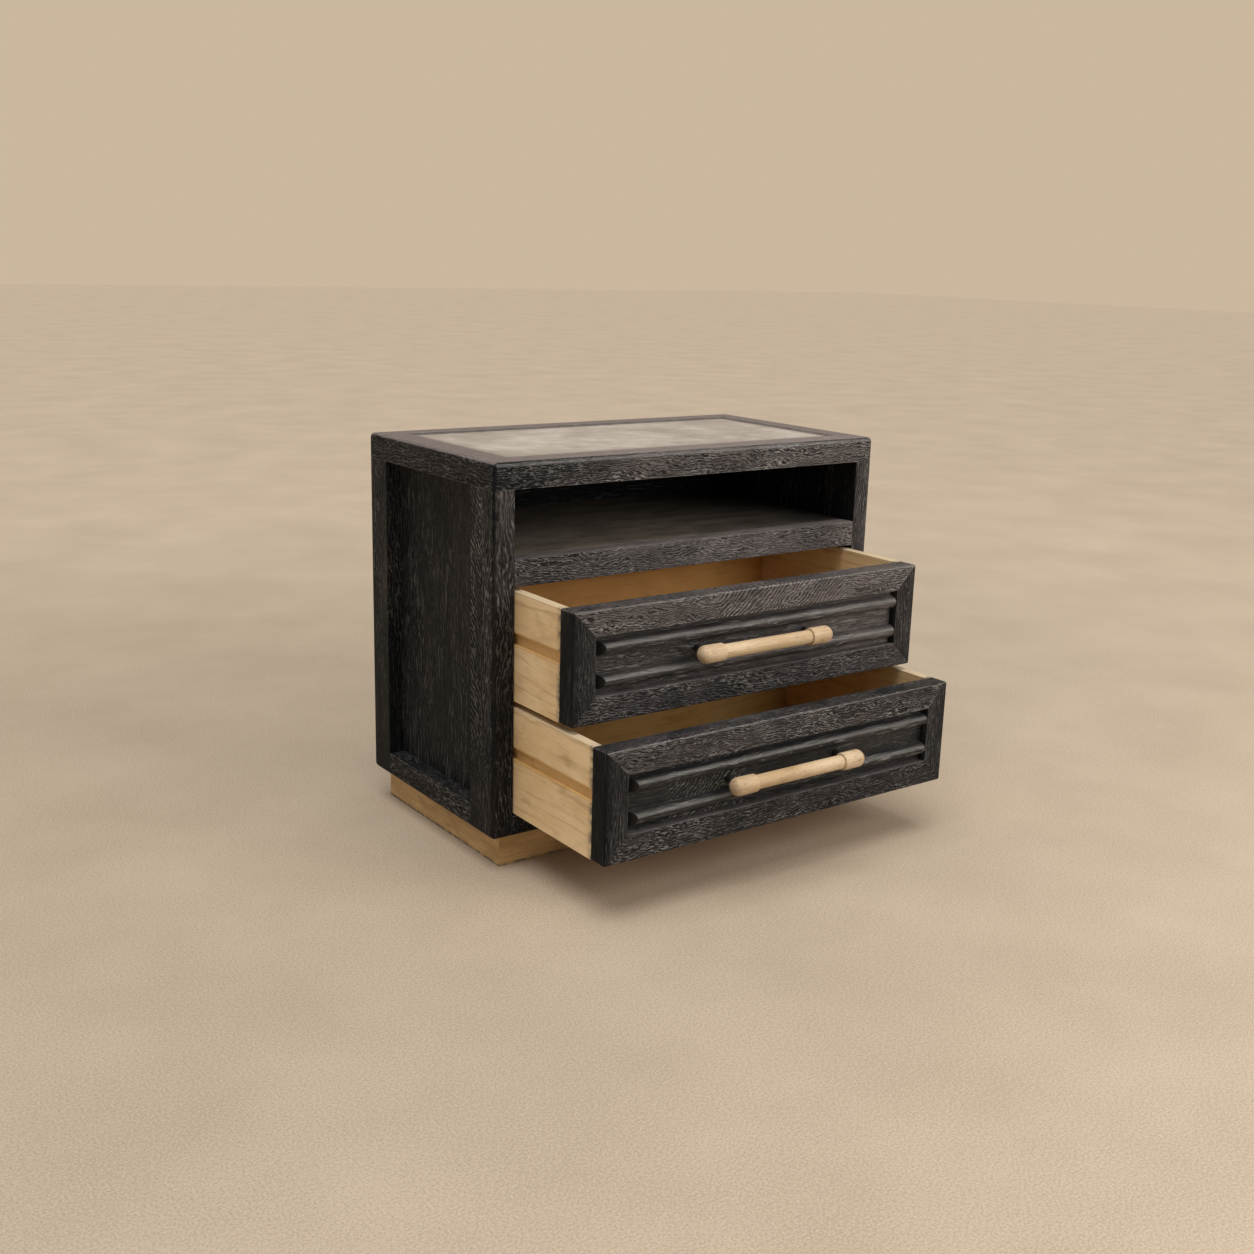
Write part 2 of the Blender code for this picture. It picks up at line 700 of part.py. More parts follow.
def build_drawer_side(name, side_name, side, stile, housing, drawer):
    """A side board with its runner groove, and the stopped tongue that joins it to the front."""
    front = FRONT_THICKNESS + SEAM
    shape = box(
        (side * DRAWER_INNER_X, front, -DRAWER_HALF_HEIGHT),
        (side * DRAWER_HALF_WIDTH, DRAWER_LENGTH, DRAWER_HALF_HEIGHT),
    )
    round_edges(shape, EDGE_EASE, EASE_SEGMENTS, (X, Z), (-X, Z))
    board = add_piece(f"{name}_{side_name}_side", shape, PALE_PINE, drawer)
    tongue_inner = DRAWER_INNER_X + SIDE_TONGUE_SHOULDER
    tongue_outer = DRAWER_HALF_WIDTH - RUNNER_GROOVE_DEPTH - SIDE_TONGUE_SHOULDER
    tongue_tip = FRONT_THICKNESS - SIDE_TONGUE_LENGTH
    tongue_z = DRAWER_HALF_HEIGHT - SIDE_TONGUE_STOP
    tongue = add_cutter(
        f"{name}_{side_name}_tongue",
        box(
            (side * tongue_inner, tongue_tip + SEAM, -tongue_z),
            (side * tongue_outer, front + CUT_MARGIN, tongue_z),
        ),
        drawer,
    )
    combine(board, "UNION", tongue)
    socket = add_cutter(
        f"{name}_{side_name}_tongue_socket",
        box(
            (side * (tongue_inner - SEAM), tongue_tip, -tongue_z - SEAM),
            (side * (tongue_outer + SEAM), front + CUT_MARGIN, tongue_z + SEAM),
        ),
        drawer,
    )
    combine(stile, "DIFFERENCE", socket)
    groove_top = RUNNER_GROOVE_RISE + RUNNER_GROOVE_HEIGHT / 2
    groove = add_cutter(
        f"{name}_{side_name}_runner_groove",
        box(
            (side * (DRAWER_HALF_WIDTH - RUNNER_GROOVE_DEPTH), 0, groove_top - RUNNER_GROOVE_HEIGHT),
            (side * (DRAWER_HALF_WIDTH + CUT_MARGIN), DRAWER_LENGTH + CUT_MARGIN, groove_top),
        ),
        drawer,
    )
    combine(board, "DIFFERENCE", groove, housing)


def pull_half_profile():
    """Distance from the middle and radius, from the tip of one end down to the bar."""
    tip = PULL_LENGTH / 2
    end_radius = PULL_END_DIAMETER / 2
    bar_radius = PULL_BAR_DIAMETER / 2
    shoulder_radius = PULL_SHOULDER_DIAMETER / 2
    shoulder = tip - PULL_END_LENGTH
    points = []
    for step in range(TIP_STEPS + 1):
        angle = math.pi / 2 * step / TIP_STEPS
        points.append(
            (tip - PULL_TIP_LENGTH * (1 - math.cos(angle)), end_radius * math.sin(angle))
        )
    for step in range(SHOULDER_STEPS + 1):
        angle = math.pi / 2 * step / SHOULDER_STEPS
        points.append(
            (
                shoulder + PULL_SHOULDER_ROUND * (1 - math.sin(angle)),
                shoulder_radius - PULL_SHOULDER_ROUND * (1 - math.cos(angle)),
            )
        )
    points.append((shoulder, bar_radius - PULL_NECK_DEPTH))
    points.append((shoulder - PULL_NECK_WIDTH / 2, bar_radius - PULL_NECK_DEPTH))
    points.append((shoulder - PULL_NECK_WIDTH, bar_radius))
    return points


def build_pull(name, drawer):
    """A turned bar with swelling ends, held off the panel by two round posts."""
    half = pull_half_profile()
    profile = half + [(-along, radius) for along, radius in reversed(half)]
    shape = bmesh.new()
    points = [shape.verts.new((along, 0, radius)) for along, radius in profile]
    for first, second in zip(points, points[1:]):
        shape.edges.new((first, second))
    pull = add_object(f"{name}_pull", shape, drawer, PARTS)
    pull.location = (0, PULL_Y, 0)
    pull.data.materials.append(TURNED_OAK)
    screw = pull.modifiers.new("turned", "SCREW")
    screw.axis = "X"
    screw.steps = TURNED_STEPS
    screw.render_steps = TURNED_STEPS
    screw.use_merge_vertices = True
    screw.merge_threshold = TURNED_MERGE
    screw.use_smooth_shade = True
    foot = FRONT_RECESS - SEAM
    for side_name, side in SIDES:
        post_x = side * PULL_POST_X
        post = rod((post_x, PULL_POST_TIP, 0), (post_x, foot, 0), PULL_POST_DIAMETER)
        add_piece(f"{name}_pull_{side_name}_post", post, BLACK_STEEL, drawer)
        socket = add_cutter(
            f"{name}_pull_{side_name}_socket",
            rod(
                (post_x, PULL_POST_TIP - SEAM, 0),
                (post_x, foot, 0),
                PULL_POST_DIAMETER + 2 * SEAM,
            ),
            drawer,
        )
        combine(pull, "DIFFERENCE", socket)


def build_drawer(name, drawer_z, opened, case):
    drawer = add_empty(f"{name}_drawer", (0, FRONT - opened, drawer_z))
    drawer.parent = case
    members = build_drawer_front(name, drawer)
    build_drawer_box(name, members, drawer)
    build_pull(name, drawer)


def build_nightstand():
    case = add_empty("case", (0, 0, 0))
    build_top(case)
    posts = build_posts(case)
    for side_name, side in SIDES:
        build_side(side_name, side, posts, case)
    shelf_rail = build_front_and_back_rails(posts, case)
    build_shelf(shelf_rail, case)
    build_bottom_and_back(posts, case)
    build_plinth(case)
    for name, drawer_z, opened in (
        ("upper", UPPER_DRAWER_Z, UPPER_DRAWER_OPEN),
        ("lower", LOWER_DRAWER_Z, LOWER_DRAWER_OPEN),
    ):
        build_runners(name, drawer_z, case)
        build_drawer(name, drawer_z, opened, case)


build_nightstand()
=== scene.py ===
"""Looks for the nightstand: brushed dark oak, pale softwood, turned pulls and a mottled top panel.

Metres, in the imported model's frame: the front faces -Y, +Z is up and the floor is at Z = 0.
"""

import json
import math
import random
from collections import namedtuple

import bmesh
import bpy
from mathutils import Matrix, Vector

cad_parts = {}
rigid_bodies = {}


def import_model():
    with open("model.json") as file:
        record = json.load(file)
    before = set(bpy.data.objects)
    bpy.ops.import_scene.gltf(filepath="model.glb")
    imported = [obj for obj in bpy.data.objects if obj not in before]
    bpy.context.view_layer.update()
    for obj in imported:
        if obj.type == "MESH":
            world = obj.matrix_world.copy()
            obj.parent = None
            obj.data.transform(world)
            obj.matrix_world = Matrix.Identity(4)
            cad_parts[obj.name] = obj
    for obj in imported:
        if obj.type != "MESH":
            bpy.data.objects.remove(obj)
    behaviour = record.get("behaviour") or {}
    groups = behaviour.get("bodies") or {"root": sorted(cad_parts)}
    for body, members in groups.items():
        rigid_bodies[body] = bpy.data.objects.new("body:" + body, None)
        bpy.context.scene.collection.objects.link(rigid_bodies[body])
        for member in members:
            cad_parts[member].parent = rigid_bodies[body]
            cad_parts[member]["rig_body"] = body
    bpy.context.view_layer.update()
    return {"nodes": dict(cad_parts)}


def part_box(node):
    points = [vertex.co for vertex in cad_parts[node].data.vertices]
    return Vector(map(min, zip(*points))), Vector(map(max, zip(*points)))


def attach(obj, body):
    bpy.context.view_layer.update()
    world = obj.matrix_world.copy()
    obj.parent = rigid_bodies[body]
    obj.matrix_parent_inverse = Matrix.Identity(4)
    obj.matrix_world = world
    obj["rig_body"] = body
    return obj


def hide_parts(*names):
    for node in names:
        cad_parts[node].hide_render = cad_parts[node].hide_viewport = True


for thing in list(bpy.data.objects):
    bpy.data.objects.remove(thing, do_unlink=True)
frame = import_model()

X = Vector((1, 0, 0))
Y = Vector((0, 1, 0))
Z = Vector((0, 0, 1))
SIDES = (("left", -X), ("right", X))

# Camera, from a fit to the photograph's edges
PICTURE_PIXELS = 1254
SENSOR_MM = 36.0
FOCAL_PIXELS = 1461.0
CAMERA_PLACE = Vector((-1.4531, -2.0083, 0.9333))
CAMERA_YAW = math.radians(36.086)
CAMERA_PITCH = math.radians(-14.336)
CAMERA_ROLL = math.radians(1.577)

# Studio
FLOOR_HALF = 30.0
FLOOR_NEAR = 0.6
FLOOR_FAR = 3.2
FLOOR_SHADE_NEAR = 0.93
FLOOR_SHADE_FAR = 1.15
FLOOR_LIGHT = (0.550, 0.450, 0.342, 1.0)
FLOOR_DARK = (0.410, 0.327, 0.240, 1.0)
FLOOR_ROUGHNESS = 0.9
FLOOR_SPECULAR = 0.1
BACKGROUND_COLOUR = (0.591, 0.474, 0.342, 1.0)
AMBIENT_COLOUR = (1.0, 0.98, 0.95, 1.0)
AMBIENT_STRENGTH = 0.33
KEY_STRENGTH = 2.2
KEY_ANGLE = math.radians(45)
KEY_FROM = Vector((-0.22, -0.12, 1.0))
FILL_POWER = 52.0
FILL_SIZE = 1.6
FILL_PLACE = Vector((1.1, -2.8, 1.7))
FILL_AIM = Vector((0.0, -0.2, 0.35))
LAMP_COLOUR = (1.0, 0.98, 0.95)

# Edges of the dressed boards
WELD = 0.000005
FLAT_ANGLE = math.radians(0.4)
SHARP_ANGLE = math.radians(32)
MITRE_SLANT = 0.6
EASE = 0.0006
EASE_SEGMENTS = 2
ROUND_PROFILE = 0.5

# Pulls and beads: sizes that the solids' boxes don't give
PULL_END_LENGTH = 0.045
PULL_SHOULDER_RADIUS = 0.01375
PULL_BAR_RADIUS = 0.011
PULL_TIP_LENGTH = 0.013
PULL_SHOULDER_ROUND = 0.0015
PULL_NECK_DEPTH = 0.0008
PULL_NECK_WIDTH = 0.003
TIP_STEPS = 14
SHOULDER_STEPS = 6
TURNED_STEPS = 72
BEAD_STEPS = 32
BEAD_EASE = 0.0007
BEAD_END_SLANT = 0.8

# Oak grain. A wave is its features a metre along the grain, those across it, and its size.
ACROSS = (0.0, 0.707, 0.707)
OAK_WAVES = ((2.4, 9.0, 0.030), (16.0, 36.0, 0.018))
SWIRL_ALONG = 90.0
SWIRL_ACROSS = 170.0
OAK_LINE_WIDTH = 0.0027
OAK_LINE_TILT = 0.035
RAY_WAVES = ((6.0, 12.0, 0.020), (44.0, 56.0, 0.011))
RAY_WAY = (0.66, 0.0, -0.75)
RAY_WIDTH = 0.0058
OAK_COLD = (0.0062, 0.0074, 0.0083, 1.0)
OAK_WARM = (0.0125, 0.0116, 0.0121, 1.0)
# Pale colours the oak goes towards: where its stain has faded, and where sheen, light and shade are
# painted on. The shelf's is painted where light falls into the cubby.
OAK_PALE = (0.187, 0.157, 0.150, 1.0)
SHELF_PALE = (0.190, 0.158, 0.128, 1.0)
FILLER_COLOUR = (0.264, 0.251, 0.243, 1.0)
# Worn edges, and a painted highlight along upper rounds
WEAR_AND_HIGHLIGHT_COLOUR = (0.245, 0.234, 0.225, 1.0)
WEAR_REACH = 0.0024
WEAR_SAMPLES = 6
WEAR_STRENGTH = 0.70

# Pale wood grain
PALE_WAVES = ((2.4, 9.0, 0.034), (20.0, 60.0, 0.006))
PALE_LINE_TILT = 0.020
KNOT_CELLS = (7.0, 18.0, 18.0)
LATE_WOOD_COLOUR = (0.270, 0.155, 0.065, 1.0)
FLECK_COLOUR = (0.20, 0.105, 0.040, 1.0)
KNOT_COLOUR = (0.16, 0.075, 0.028, 1.0)
# Painted highlight on a drawer side's level top edge, where light falls
TOP_SHEEN_COLOUR = (0.500, 0.410, 0.290, 1.0)
# Dark finish and dirt, and painted shade where the plinth meets the floor
STAIN_AND_SHADE_COLOUR = (0.110, 0.096, 0.082, 1.0)
SMUDGE_TINT = (0.60, 0.56, 0.52)
# Raw wood's golden tint, which also paints shade in a groove and inside the drawers
GOLDEN_SHADE_TINT = (0.82, 0.70, 0.48)

# Top panel and pull posts
STONE_DARK = (0.262, 0.232, 0.202, 1.0)
STONE_LIGHT = (0.512, 0.466, 0.418, 1.0)
STONE_RIM = (0.150, 0.128, 0.108, 1.0)
RIM_REACH = 0.024
STONE_BUMP = 0.12
STEEL_DARK = (0.030, 0.029, 0.028, 1.0)
STEEL_LIGHT = (0.070, 0.067, 0.064, 1.0)
STEEL_METAL = 0.6

# Depth of the fine relief on wood and stone
RELIEF = 0.0004

# What changes over a piece. A ramp is where it starts and stops, and the values there.
OUTER_FACE = (0.40, 0.80)
INNER_FACE = (-0.80, -0.40)
# Filler left on inner faces: painted shade inside the case
INNER_SHADE = 0.15
CUT_END = (0.40, 0.70)
STAIN_REACH = 0.012
STAIN_AT_FRONT = 0.9
EDGE_DEPTH = 0.004
# Painted highlight on a drawer side's top edge
TOP_EDGE_SHEEN = 0.85
# Golden tint in the runner's groove and inside each drawer: raw wood and painted shade
GROOVE_GOLD_SHADE = 0.9
INNER_GOLD_SHADE = {"upper": 0.05, "lower": 0.40}
# Painted shade along the plinth's foot, where it meets the floor
CONTACT_SHADE_FROM = 0.0015
CONTACT_SHADE_REACH = 0.006
# Filler by height: painted shade, darker towards the floor. The post front is painted lighter high
# up.
POST_FRONT_FILLER = (0.30, 0.58, 0.34, 0.80)
POST_SIDE_FILLER = (0.08, 0.46, 0.18, 0.85)
POST_FRONT_THREADS = 0.08
POST_SIDE_THREADS = 0.14
POST_RAYS = (-0.168, -0.160)
POST_FADE = {"left": 0.01, "right": 0.10}
POST_LIGHT_HEIGHT = (0.40, 0.48)
POST_LIGHT_HIGH = 0.15
BACK_POST_FILLER = (0.08, 0.58, 0.08, 0.46)
SIDE_PANEL_FILLER = (0.08, 0.58, 0.15, 0.28)
BEAD_FADE_LENGTH = (-0.10, 0.30)
BEAD_FADE_RIGHT = {"upper": 2.6, "lower": 1.0}
STILE_FILLER = 0.30
STILE_EDGE_SHARE = 0.25
# A stile's front is painted darker towards its outer edge, as shade, most on the left stile
STILE_SHADE_FROM = 0.022
STILE_SHADE_TO = 0.002
STILE_EDGE_SHADE = {"left": 0.35, "right": 0.9}
PULL_STAIN = (0.02, 0.20)
PULL_FLECKS = (0.60, 1.0)

# Ramps from left to right, by piece and by the input of its wood group. Those that lighten the
# front rails and panels and the shelf rail towards the right are painted sheen. The shelf board is
# painted pale where light falls into the cubby and darker to the right as shade. The others make a
# rail darker towards the right.
LENGTHWISE_TONE_AND_LIGHT = {
    "top_front_rail": {"Filler": (-0.36, 0.0, 0.60, 1.10), "Fade": (-0.36, -0.02, 0.01, 0.28)},
    "shelf_board": {"Fade": (-0.05, 0.33, 0.94, 0.20)},
    "shelf_rail": {"Fade": (-0.34, -0.05, 0.17, 0.40)},
    "upper_front_top_rail": {"Fade": (-0.34, -0.10, 0.26, 0.37)},
    "upper_front_panel": {"Fade": (-0.15, 0.30, 0.10, 0.36)},
    "upper_front_bottom_rail": {
        "Filler": (-0.10, 0.30, 0.90, 0.60),
        "Fade": (-0.10, 0.30, 0.11, 0.16),
    },
    "lower_front_top_rail": {"Fade": (-0.20, 0.30, 0.16, 0.10)},
    "lower_front_panel": {"Threads": (-0.10, 0.25, 0.10, 0.45), "Fade": (-0.10, 0.25, 0.0, 0.05)},
    "lower_front_bottom_rail": {
        "Filler": (-0.30, 0.10, 0.75, 0.62),
        "Fade": (-0.30, 0.10, 0.09, 0.06),
    },
}

# Ray flecks on a board: where they start and stop, how far they fade, the filler off and on them
RAYS = {
    "upper_front_top_rail": (-0.03, 0.13, 0.10, 1.0, 1.0),
    "lower_front_panel": (-0.20, -0.10, 0.04, 0.08, 0.75),
}

# Where a board's tree had its heart, behind the show face
HEART_SEED = 7
HEART_BEHIND_BOARD = (0.05, 0.12)
HEART_BEHIND_TURNED = (0.008, 0.020)
HEART_ASIDE = 0.35
HEART_ALONG = (1.0, 9.0)

# Sockets of the wood groups
VECTOR = "NodeSocketVector"
FLOAT = "NodeSocketFloat"
COLOUR = "NodeSocketColor"
SURFACE = (("Color", COLOUR), ("Roughness", FLOAT), ("Height", FLOAT))


class Graph:
    """Adds nodes to a node tree. A value is a socket to link, or a number or tuple to set."""

    def __init__(self, tree):
        self.tree = tree

    def add(self, kind, values=None, **settings):
        node = self.tree.nodes.new(kind)
        for name, value in settings.items():
            setattr(node, name, value)
        for name, value in (values or {}).items():
            self.put(node.inputs[name], value)
        return node

    def put(self, socket, value):
        if isinstance(value, bpy.types.NodeSocket):
            self.tree.links.new(value, socket)
        else:
            socket.default_value = value

    def math(self, operation, first, second=0.0, third=0.0, clamp=False):
        values = {0: first, 1: second, 2: third}
        return self.add("ShaderNodeMath", values, operation=operation, use_clamp=clamp).outputs[0]

    def vector(self, operation, first, second=(0.0, 0.0, 0.0)):
        slot = "Scale" if operation == "SCALE" else 1
        node = self.add("ShaderNodeVectorMath", {0: first, slot: second}, operation=operation)
        return node.outputs["Value" if operation in ("DOT_PRODUCT", "LENGTH") else "Vector"]

    def parts(self, vector):
        return self.add("ShaderNodeSeparateXYZ", {0: vector}).outputs

    def noise(self, place, along, across, detail=2.0, roughness=0.5):
        """Noise of about 0 to 1, with this many features a metre along the grain and across it."""
        scaled = self.vector("MULTIPLY", place, (along, across, across))
        node = self.add(
            "ShaderNodeTexNoise",
            {"Vector": scaled, "Scale": 1.0, "Detail": detail, "Roughness": roughness},
        )
        return node.outputs[0]

    def step(self, value, low, high, first=0.0, last=1.0):
        """A smooth step from first to last as value goes from low to high."""
        node = self.add(
            "ShaderNodeMapRange",
            {"Value": value, "From Min": low, "From Max": high, "To Min": first, "To Max": last},
            interpolation_type="SMOOTHSTEP",
        )
        return node.outputs[0]

    def blend(self, factor, first, second):
        values = {0: factor, 6: first, 7: second}
        return self.add("ShaderNodeMix", values, data_type="RGBA").outputs[2]

    def blend_value(self, factor, first, second):
        values = {0: factor, 2: first, 3: second}
        return self.add("ShaderNodeMix", values, data_type="FLOAT").outputs[0]


def new_group(name, inputs, outputs):
    group = bpy.data.node_groups.new(name, "ShaderNodeTree")
    for label, kind in inputs:
        group.interface.new_socket(name=label, in_out="INPUT", socket_type=kind)
    for label, kind in outputs:
        group.interface.new_socket(name=label, in_out="OUTPUT", socket_type=kind)
    graph = Graph(group)
    return group, graph, graph.add("NodeGroupInput"), graph.add("NodeGroupOutput")


def add_waves(graph, place, value, waves):
    for along, across, size in waves:
        wave = graph.math("SUBTRACT", graph.noise(place, along, across, 1.0), 0.5)
        value = graph.math("MULTIPLY_ADD", wave, size, value)
    return value


def growth_lines(graph, place, depth, width, waves, tilt):
    """Growth rings as a sawtooth from 0 to 1, where depth is how far into the tree a point is."""
    distance = graph.math("MULTIPLY_ADD", graph.parts(place)[0], tilt, depth)
    distance = add_waves(graph, place, distance, waves)
    return graph.math("FRACT", graph.math("DIVIDE", distance, width))


def facing_parts(graph):
    """How far the surface looks along each axis."""
    return graph.parts(graph.add("ShaderNodeNewGeometry").outputs["Normal"])


def edge_wear(graph, place):
    """How worn an edge is, from 0 to 1, in broken dashes along it. Mitres aren't worn."""
    node = graph.add("ShaderNodeBevel", {"Radius": WEAR_REACH}, samples=WEAR_SAMPLES)
    bevel = node.outputs[0]
    true = graph.add("ShaderNodeNewGeometry").outputs["Normal"]
    turned = graph.math("SUBTRACT", 1.0, graph.vector("DOT_PRODUCT", bevel, true))
    x, y, z = graph.parts(bevel)
    slanting = graph.math("ABSOLUTE", graph.math("MULTIPLY", x, graph.math("MULTIPLY", y, z)))
    mitre = graph.step(slanting, 0.004, 0.015)
    edge = graph.step(graph.math("SUBTRACT", turned, mitre), 0.02, 0.14)
    dashes = graph.step(graph.noise(place, 48.0, 190.0, 3.0, 0.6), 0.36, 0.58)
    return graph.math("MULTIPLY", edge, dashes)


def oak_lines(graph, given, place, flow):
    """How far a point is from the middle of its growth line or ray fleck, from 0 to 0.5."""
    slant = graph.vector("DOT_PRODUCT", flow, ACROSS)
    swirl = ((SWIRL_ALONG, SWIRL_ACROSS, given["Swirl"]),)
    saw = growth_lines(graph, place, slant, OAK_LINE_WIDTH, swirl, OAK_LINE_TILT)
    across = graph.vector("DOT_PRODUCT", place, RAY_WAY)
    ray = growth_lines(graph, place, across, RAY_WIDTH, RAY_WAVES, 0.0)
    saw = graph.blend_value(graph.math("GREATER_THAN", given["Rays"], 0.5), saw, ray)
    return graph.math("ABSOLUTE", graph.math("SUBTRACT", saw, 0.5))


def oak_filler(graph, given, place, flow, line, fibre):
    """Grey filler in the open grain: broken lines, short strokes and long threads."""
    pores = graph.step(graph.noise(flow, 110.0, 360.0, 2.0, 0.6), 0.38, 0.58, 0.30, 1.0)
    strokes = graph.step(graph.noise(flow, 110.0, 340.0), 0.56, 0.68, 0.0, 0.7)
    threads = graph.step(graph.noise(flow, 16.0, 380.0, 2.0, 0.6), 0.55, 0.68)
    patch = graph.step(graph.noise(place, 9.0, 26.0, 3.0), 0.36, 0.62, 0.40, 1.10)
    filler = graph.math("MAXIMUM", graph.math("MULTIPLY", line, pores), strokes)
    filler = graph.math("MULTIPLY", filler, given["Filler"])
    filler = graph.math("MULTIPLY_ADD", threads, given["Threads"], filler)
    filler = graph.math("MULTIPLY", filler, graph.step(fibre, 0.30, 0.62, 0.35, 1.10))
    return graph.math("MULTIPLY", filler, patch)


def oak_ground(graph, given, place, furrow, fibre, level):
    """The stained wood, with dark furrows between the lines where it has faded; painted sheen and
    light make it paler, painted shade darker.
    """
    warm = graph.step(graph.noise(place, 6.0, 18.0, 3.0), 0.48, 0.62)
    ground = graph.blend(warm, OAK_COLD, OAK_WARM)
    paling = graph.step(graph.noise(place, 12.0, 34.0, 3.0), 0.36, 0.64, 0.7, 1.25)
    share = graph.math("MULTIPLY_ADD", given["Filler"], furrow, 1.0)
    paling = graph.math("MULTIPLY", paling, share)
    # Painted light: level faces lighter as if lit from above and by sheen, darker below zero
    level_light = graph.math("MULTIPLY", graph.step(level, 0.92, 1.0), given["Level light"])
    paling = graph.math("MULTIPLY_ADD", paling, given["Fade"], level_light, clamp=True)
    ground = graph.blend(paling, ground, given["Pale colour"])
    return graph.vector("SCALE", ground, graph.step(fibre, 0.30, 0.70, 0.60, 1.40))


def oak_wear_and_highlight(graph, place, fibre, up, sidelong):
    """Rubbed edges, and a painted highlight along the upper rounds on the front and back."""
    # Painted highlight along rounds that turn up towards the light
    round_highlight = graph.math("MULTIPLY", graph.step(up, 0.08, 0.30), graph.step(up, 0.50, 0.85, 0.45, 0.0))
    round_highlight = graph.math("MULTIPLY", round_highlight, graph.step(fibre, 0.35, 0.60, 0.35, 1.0))
    round_highlight = graph.math("MULTIPLY", round_highlight, graph.step(sidelong, 0.2, 0.5, 1.0, 0.0))
    edge = graph.math("MULTIPLY", edge_wear(graph, place), WEAR_STRENGTH)
    return graph.math("MAXIMUM", edge, round_highlight)


def dark_oak_group():
    """Near-black stained oak, wire-brushed, with grey filler in the open grain.

    A smaller Scale makes the grain larger. Swirl is how far its lines wander, Filler and Threads
    how strong the short and the long ones are, and Rays where they are slanting ray flecks. The
    fade input moves the wood towards the pale colour given with it: a faded stain, and also painted
    sheen and shade where a piece sets it by place. The level input paints level faces lighter, as
    light from above and sheen falling on them, and darker where it is below zero.
    """
    group, graph, start, end = new_group(
        "brushed_dark_oak",
        [
            ("Vector", VECTOR),
            ("Scale", FLOAT),
            ("Swirl", FLOAT),
            ("Filler", FLOAT),
            ("Threads", FLOAT),
            ("Rays", FLOAT),
            ("Fade", FLOAT),
            ("Pale colour", COLOUR),
            ("Level light", FLOAT),
        ],
        SURFACE,
    )
    given = start.outputs
    place = graph.vector("SCALE", given["Vector"], given["Scale"])
    shift = add_waves(graph, place, 0.0, OAK_WAVES)
    flow = graph.vector("ADD", place, graph.vector("SCALE", ACROSS, shift))
    offset = oak_lines(graph, given, place, flow)
    taper = graph.noise(flow, 60.0, 240.0, 2.0, 0.6)
    fibre = graph.noise(flow, 30.0, 900.0, 3.0, 0.65)
    line = graph.step(graph.math("MULTIPLY_ADD", taper, 0.60, offset), 0.30, 0.50, 1.0, 0.0)
    furrow = graph.math("MULTIPLY_ADD", taper, -0.30, offset)
    furrow = graph.step(furrow, 0.16, 0.30, 0.28, -0.80)

    right, back, up = facing_parts(graph)
    sidelong = graph.math("ABSOLUTE", right)
    level = graph.math("MULTIPLY_ADD", sidelong, 0.40, up)
    turning = graph.math("ABSOLUTE", graph.math("MULTIPLY", right, back))
    corner = graph.step(turning, 0.20, 0.42, 1.0, 0.1)

    filler = oak_filler(graph, given, place, flow, line, fibre)
    filler = graph.math("MULTIPLY", filler, graph.step(up, 0.70, 0.95, 1.0, 0.50))
    filler = graph.math("MULTIPLY", filler, corner, clamp=True)
    ground = oak_ground(graph, given, place, furrow, fibre, level)
    colour = graph.blend(filler, ground, FILLER_COLOUR)
    # Worn edges and painted highlights along upward rounds
    wear_and_highlight = graph.math("MULTIPLY", oak_wear_and_highlight(graph, place, fibre, up, sidelong), corner)
    colour = graph.blend(wear_and_highlight, colour, WEAR_AND_HIGHLIGHT_COLOUR)
    ridge = graph.math("MULTIPLY_ADD", line, 0.5, graph.math("MULTIPLY", fibre, 0.6))
    graph.put(end.inputs["Color"], colour)
    graph.put(end.inputs["Roughness"], graph.math("MULTIPLY_ADD", filler, 0.20, 0.42))
    graph.put(end.inputs["Height"], graph.math("SUBTRACT", 1.0, ridge))
    return group


def late_wood(graph, given, place):
    """Dark growth lines, thin and broken, from 0 to 1."""
    radius = graph.vector("LENGTH", graph.vector("MULTIPLY", place, (0.0, 1.0, 1.0)))
    saw = growth_lines(graph, place, radius, given["Ring width"], PALE_WAVES, PALE_LINE_TILT)
    late = graph.math("MULTIPLY", graph.step(saw, 0.66, 0.90), graph.step(saw, 0.92, 1.0, 1.0, 0.0))
    late = graph.math("MULTIPLY", late, graph.step(graph.noise(place, 9.0, 60.0), 0.36, 0.66))
    return graph.math("MULTIPLY", late, given["Rings"])


def small_knots(graph, given, place):
    """Ragged knots in a few of the cells that the wood is divided into, from 0 to 1."""
    cell = graph.add(
        "ShaderNodeTexVoronoi",
        {"Vector": graph.vector("MULTIPLY", place, KNOT_CELLS), "Scale": 1.0},
    ).outputs
    chosen = graph.add("ShaderNodeSeparateColor", {0: cell["Color"]}).outputs[0]
    ragged = graph.math("MULTIPLY", graph.noise(place, 120.0, 260.0), 0.07)
    knot = graph.step(graph.math("ADD", cell["Distance"], ragged), 0.05, 0.11, 1.0, 0.0)
    knot = graph.math("MULTIPLY", knot, graph.math("GREATER_THAN", chosen, 0.84))
    return graph.math("MULTIPLY", knot, given["Knots"])


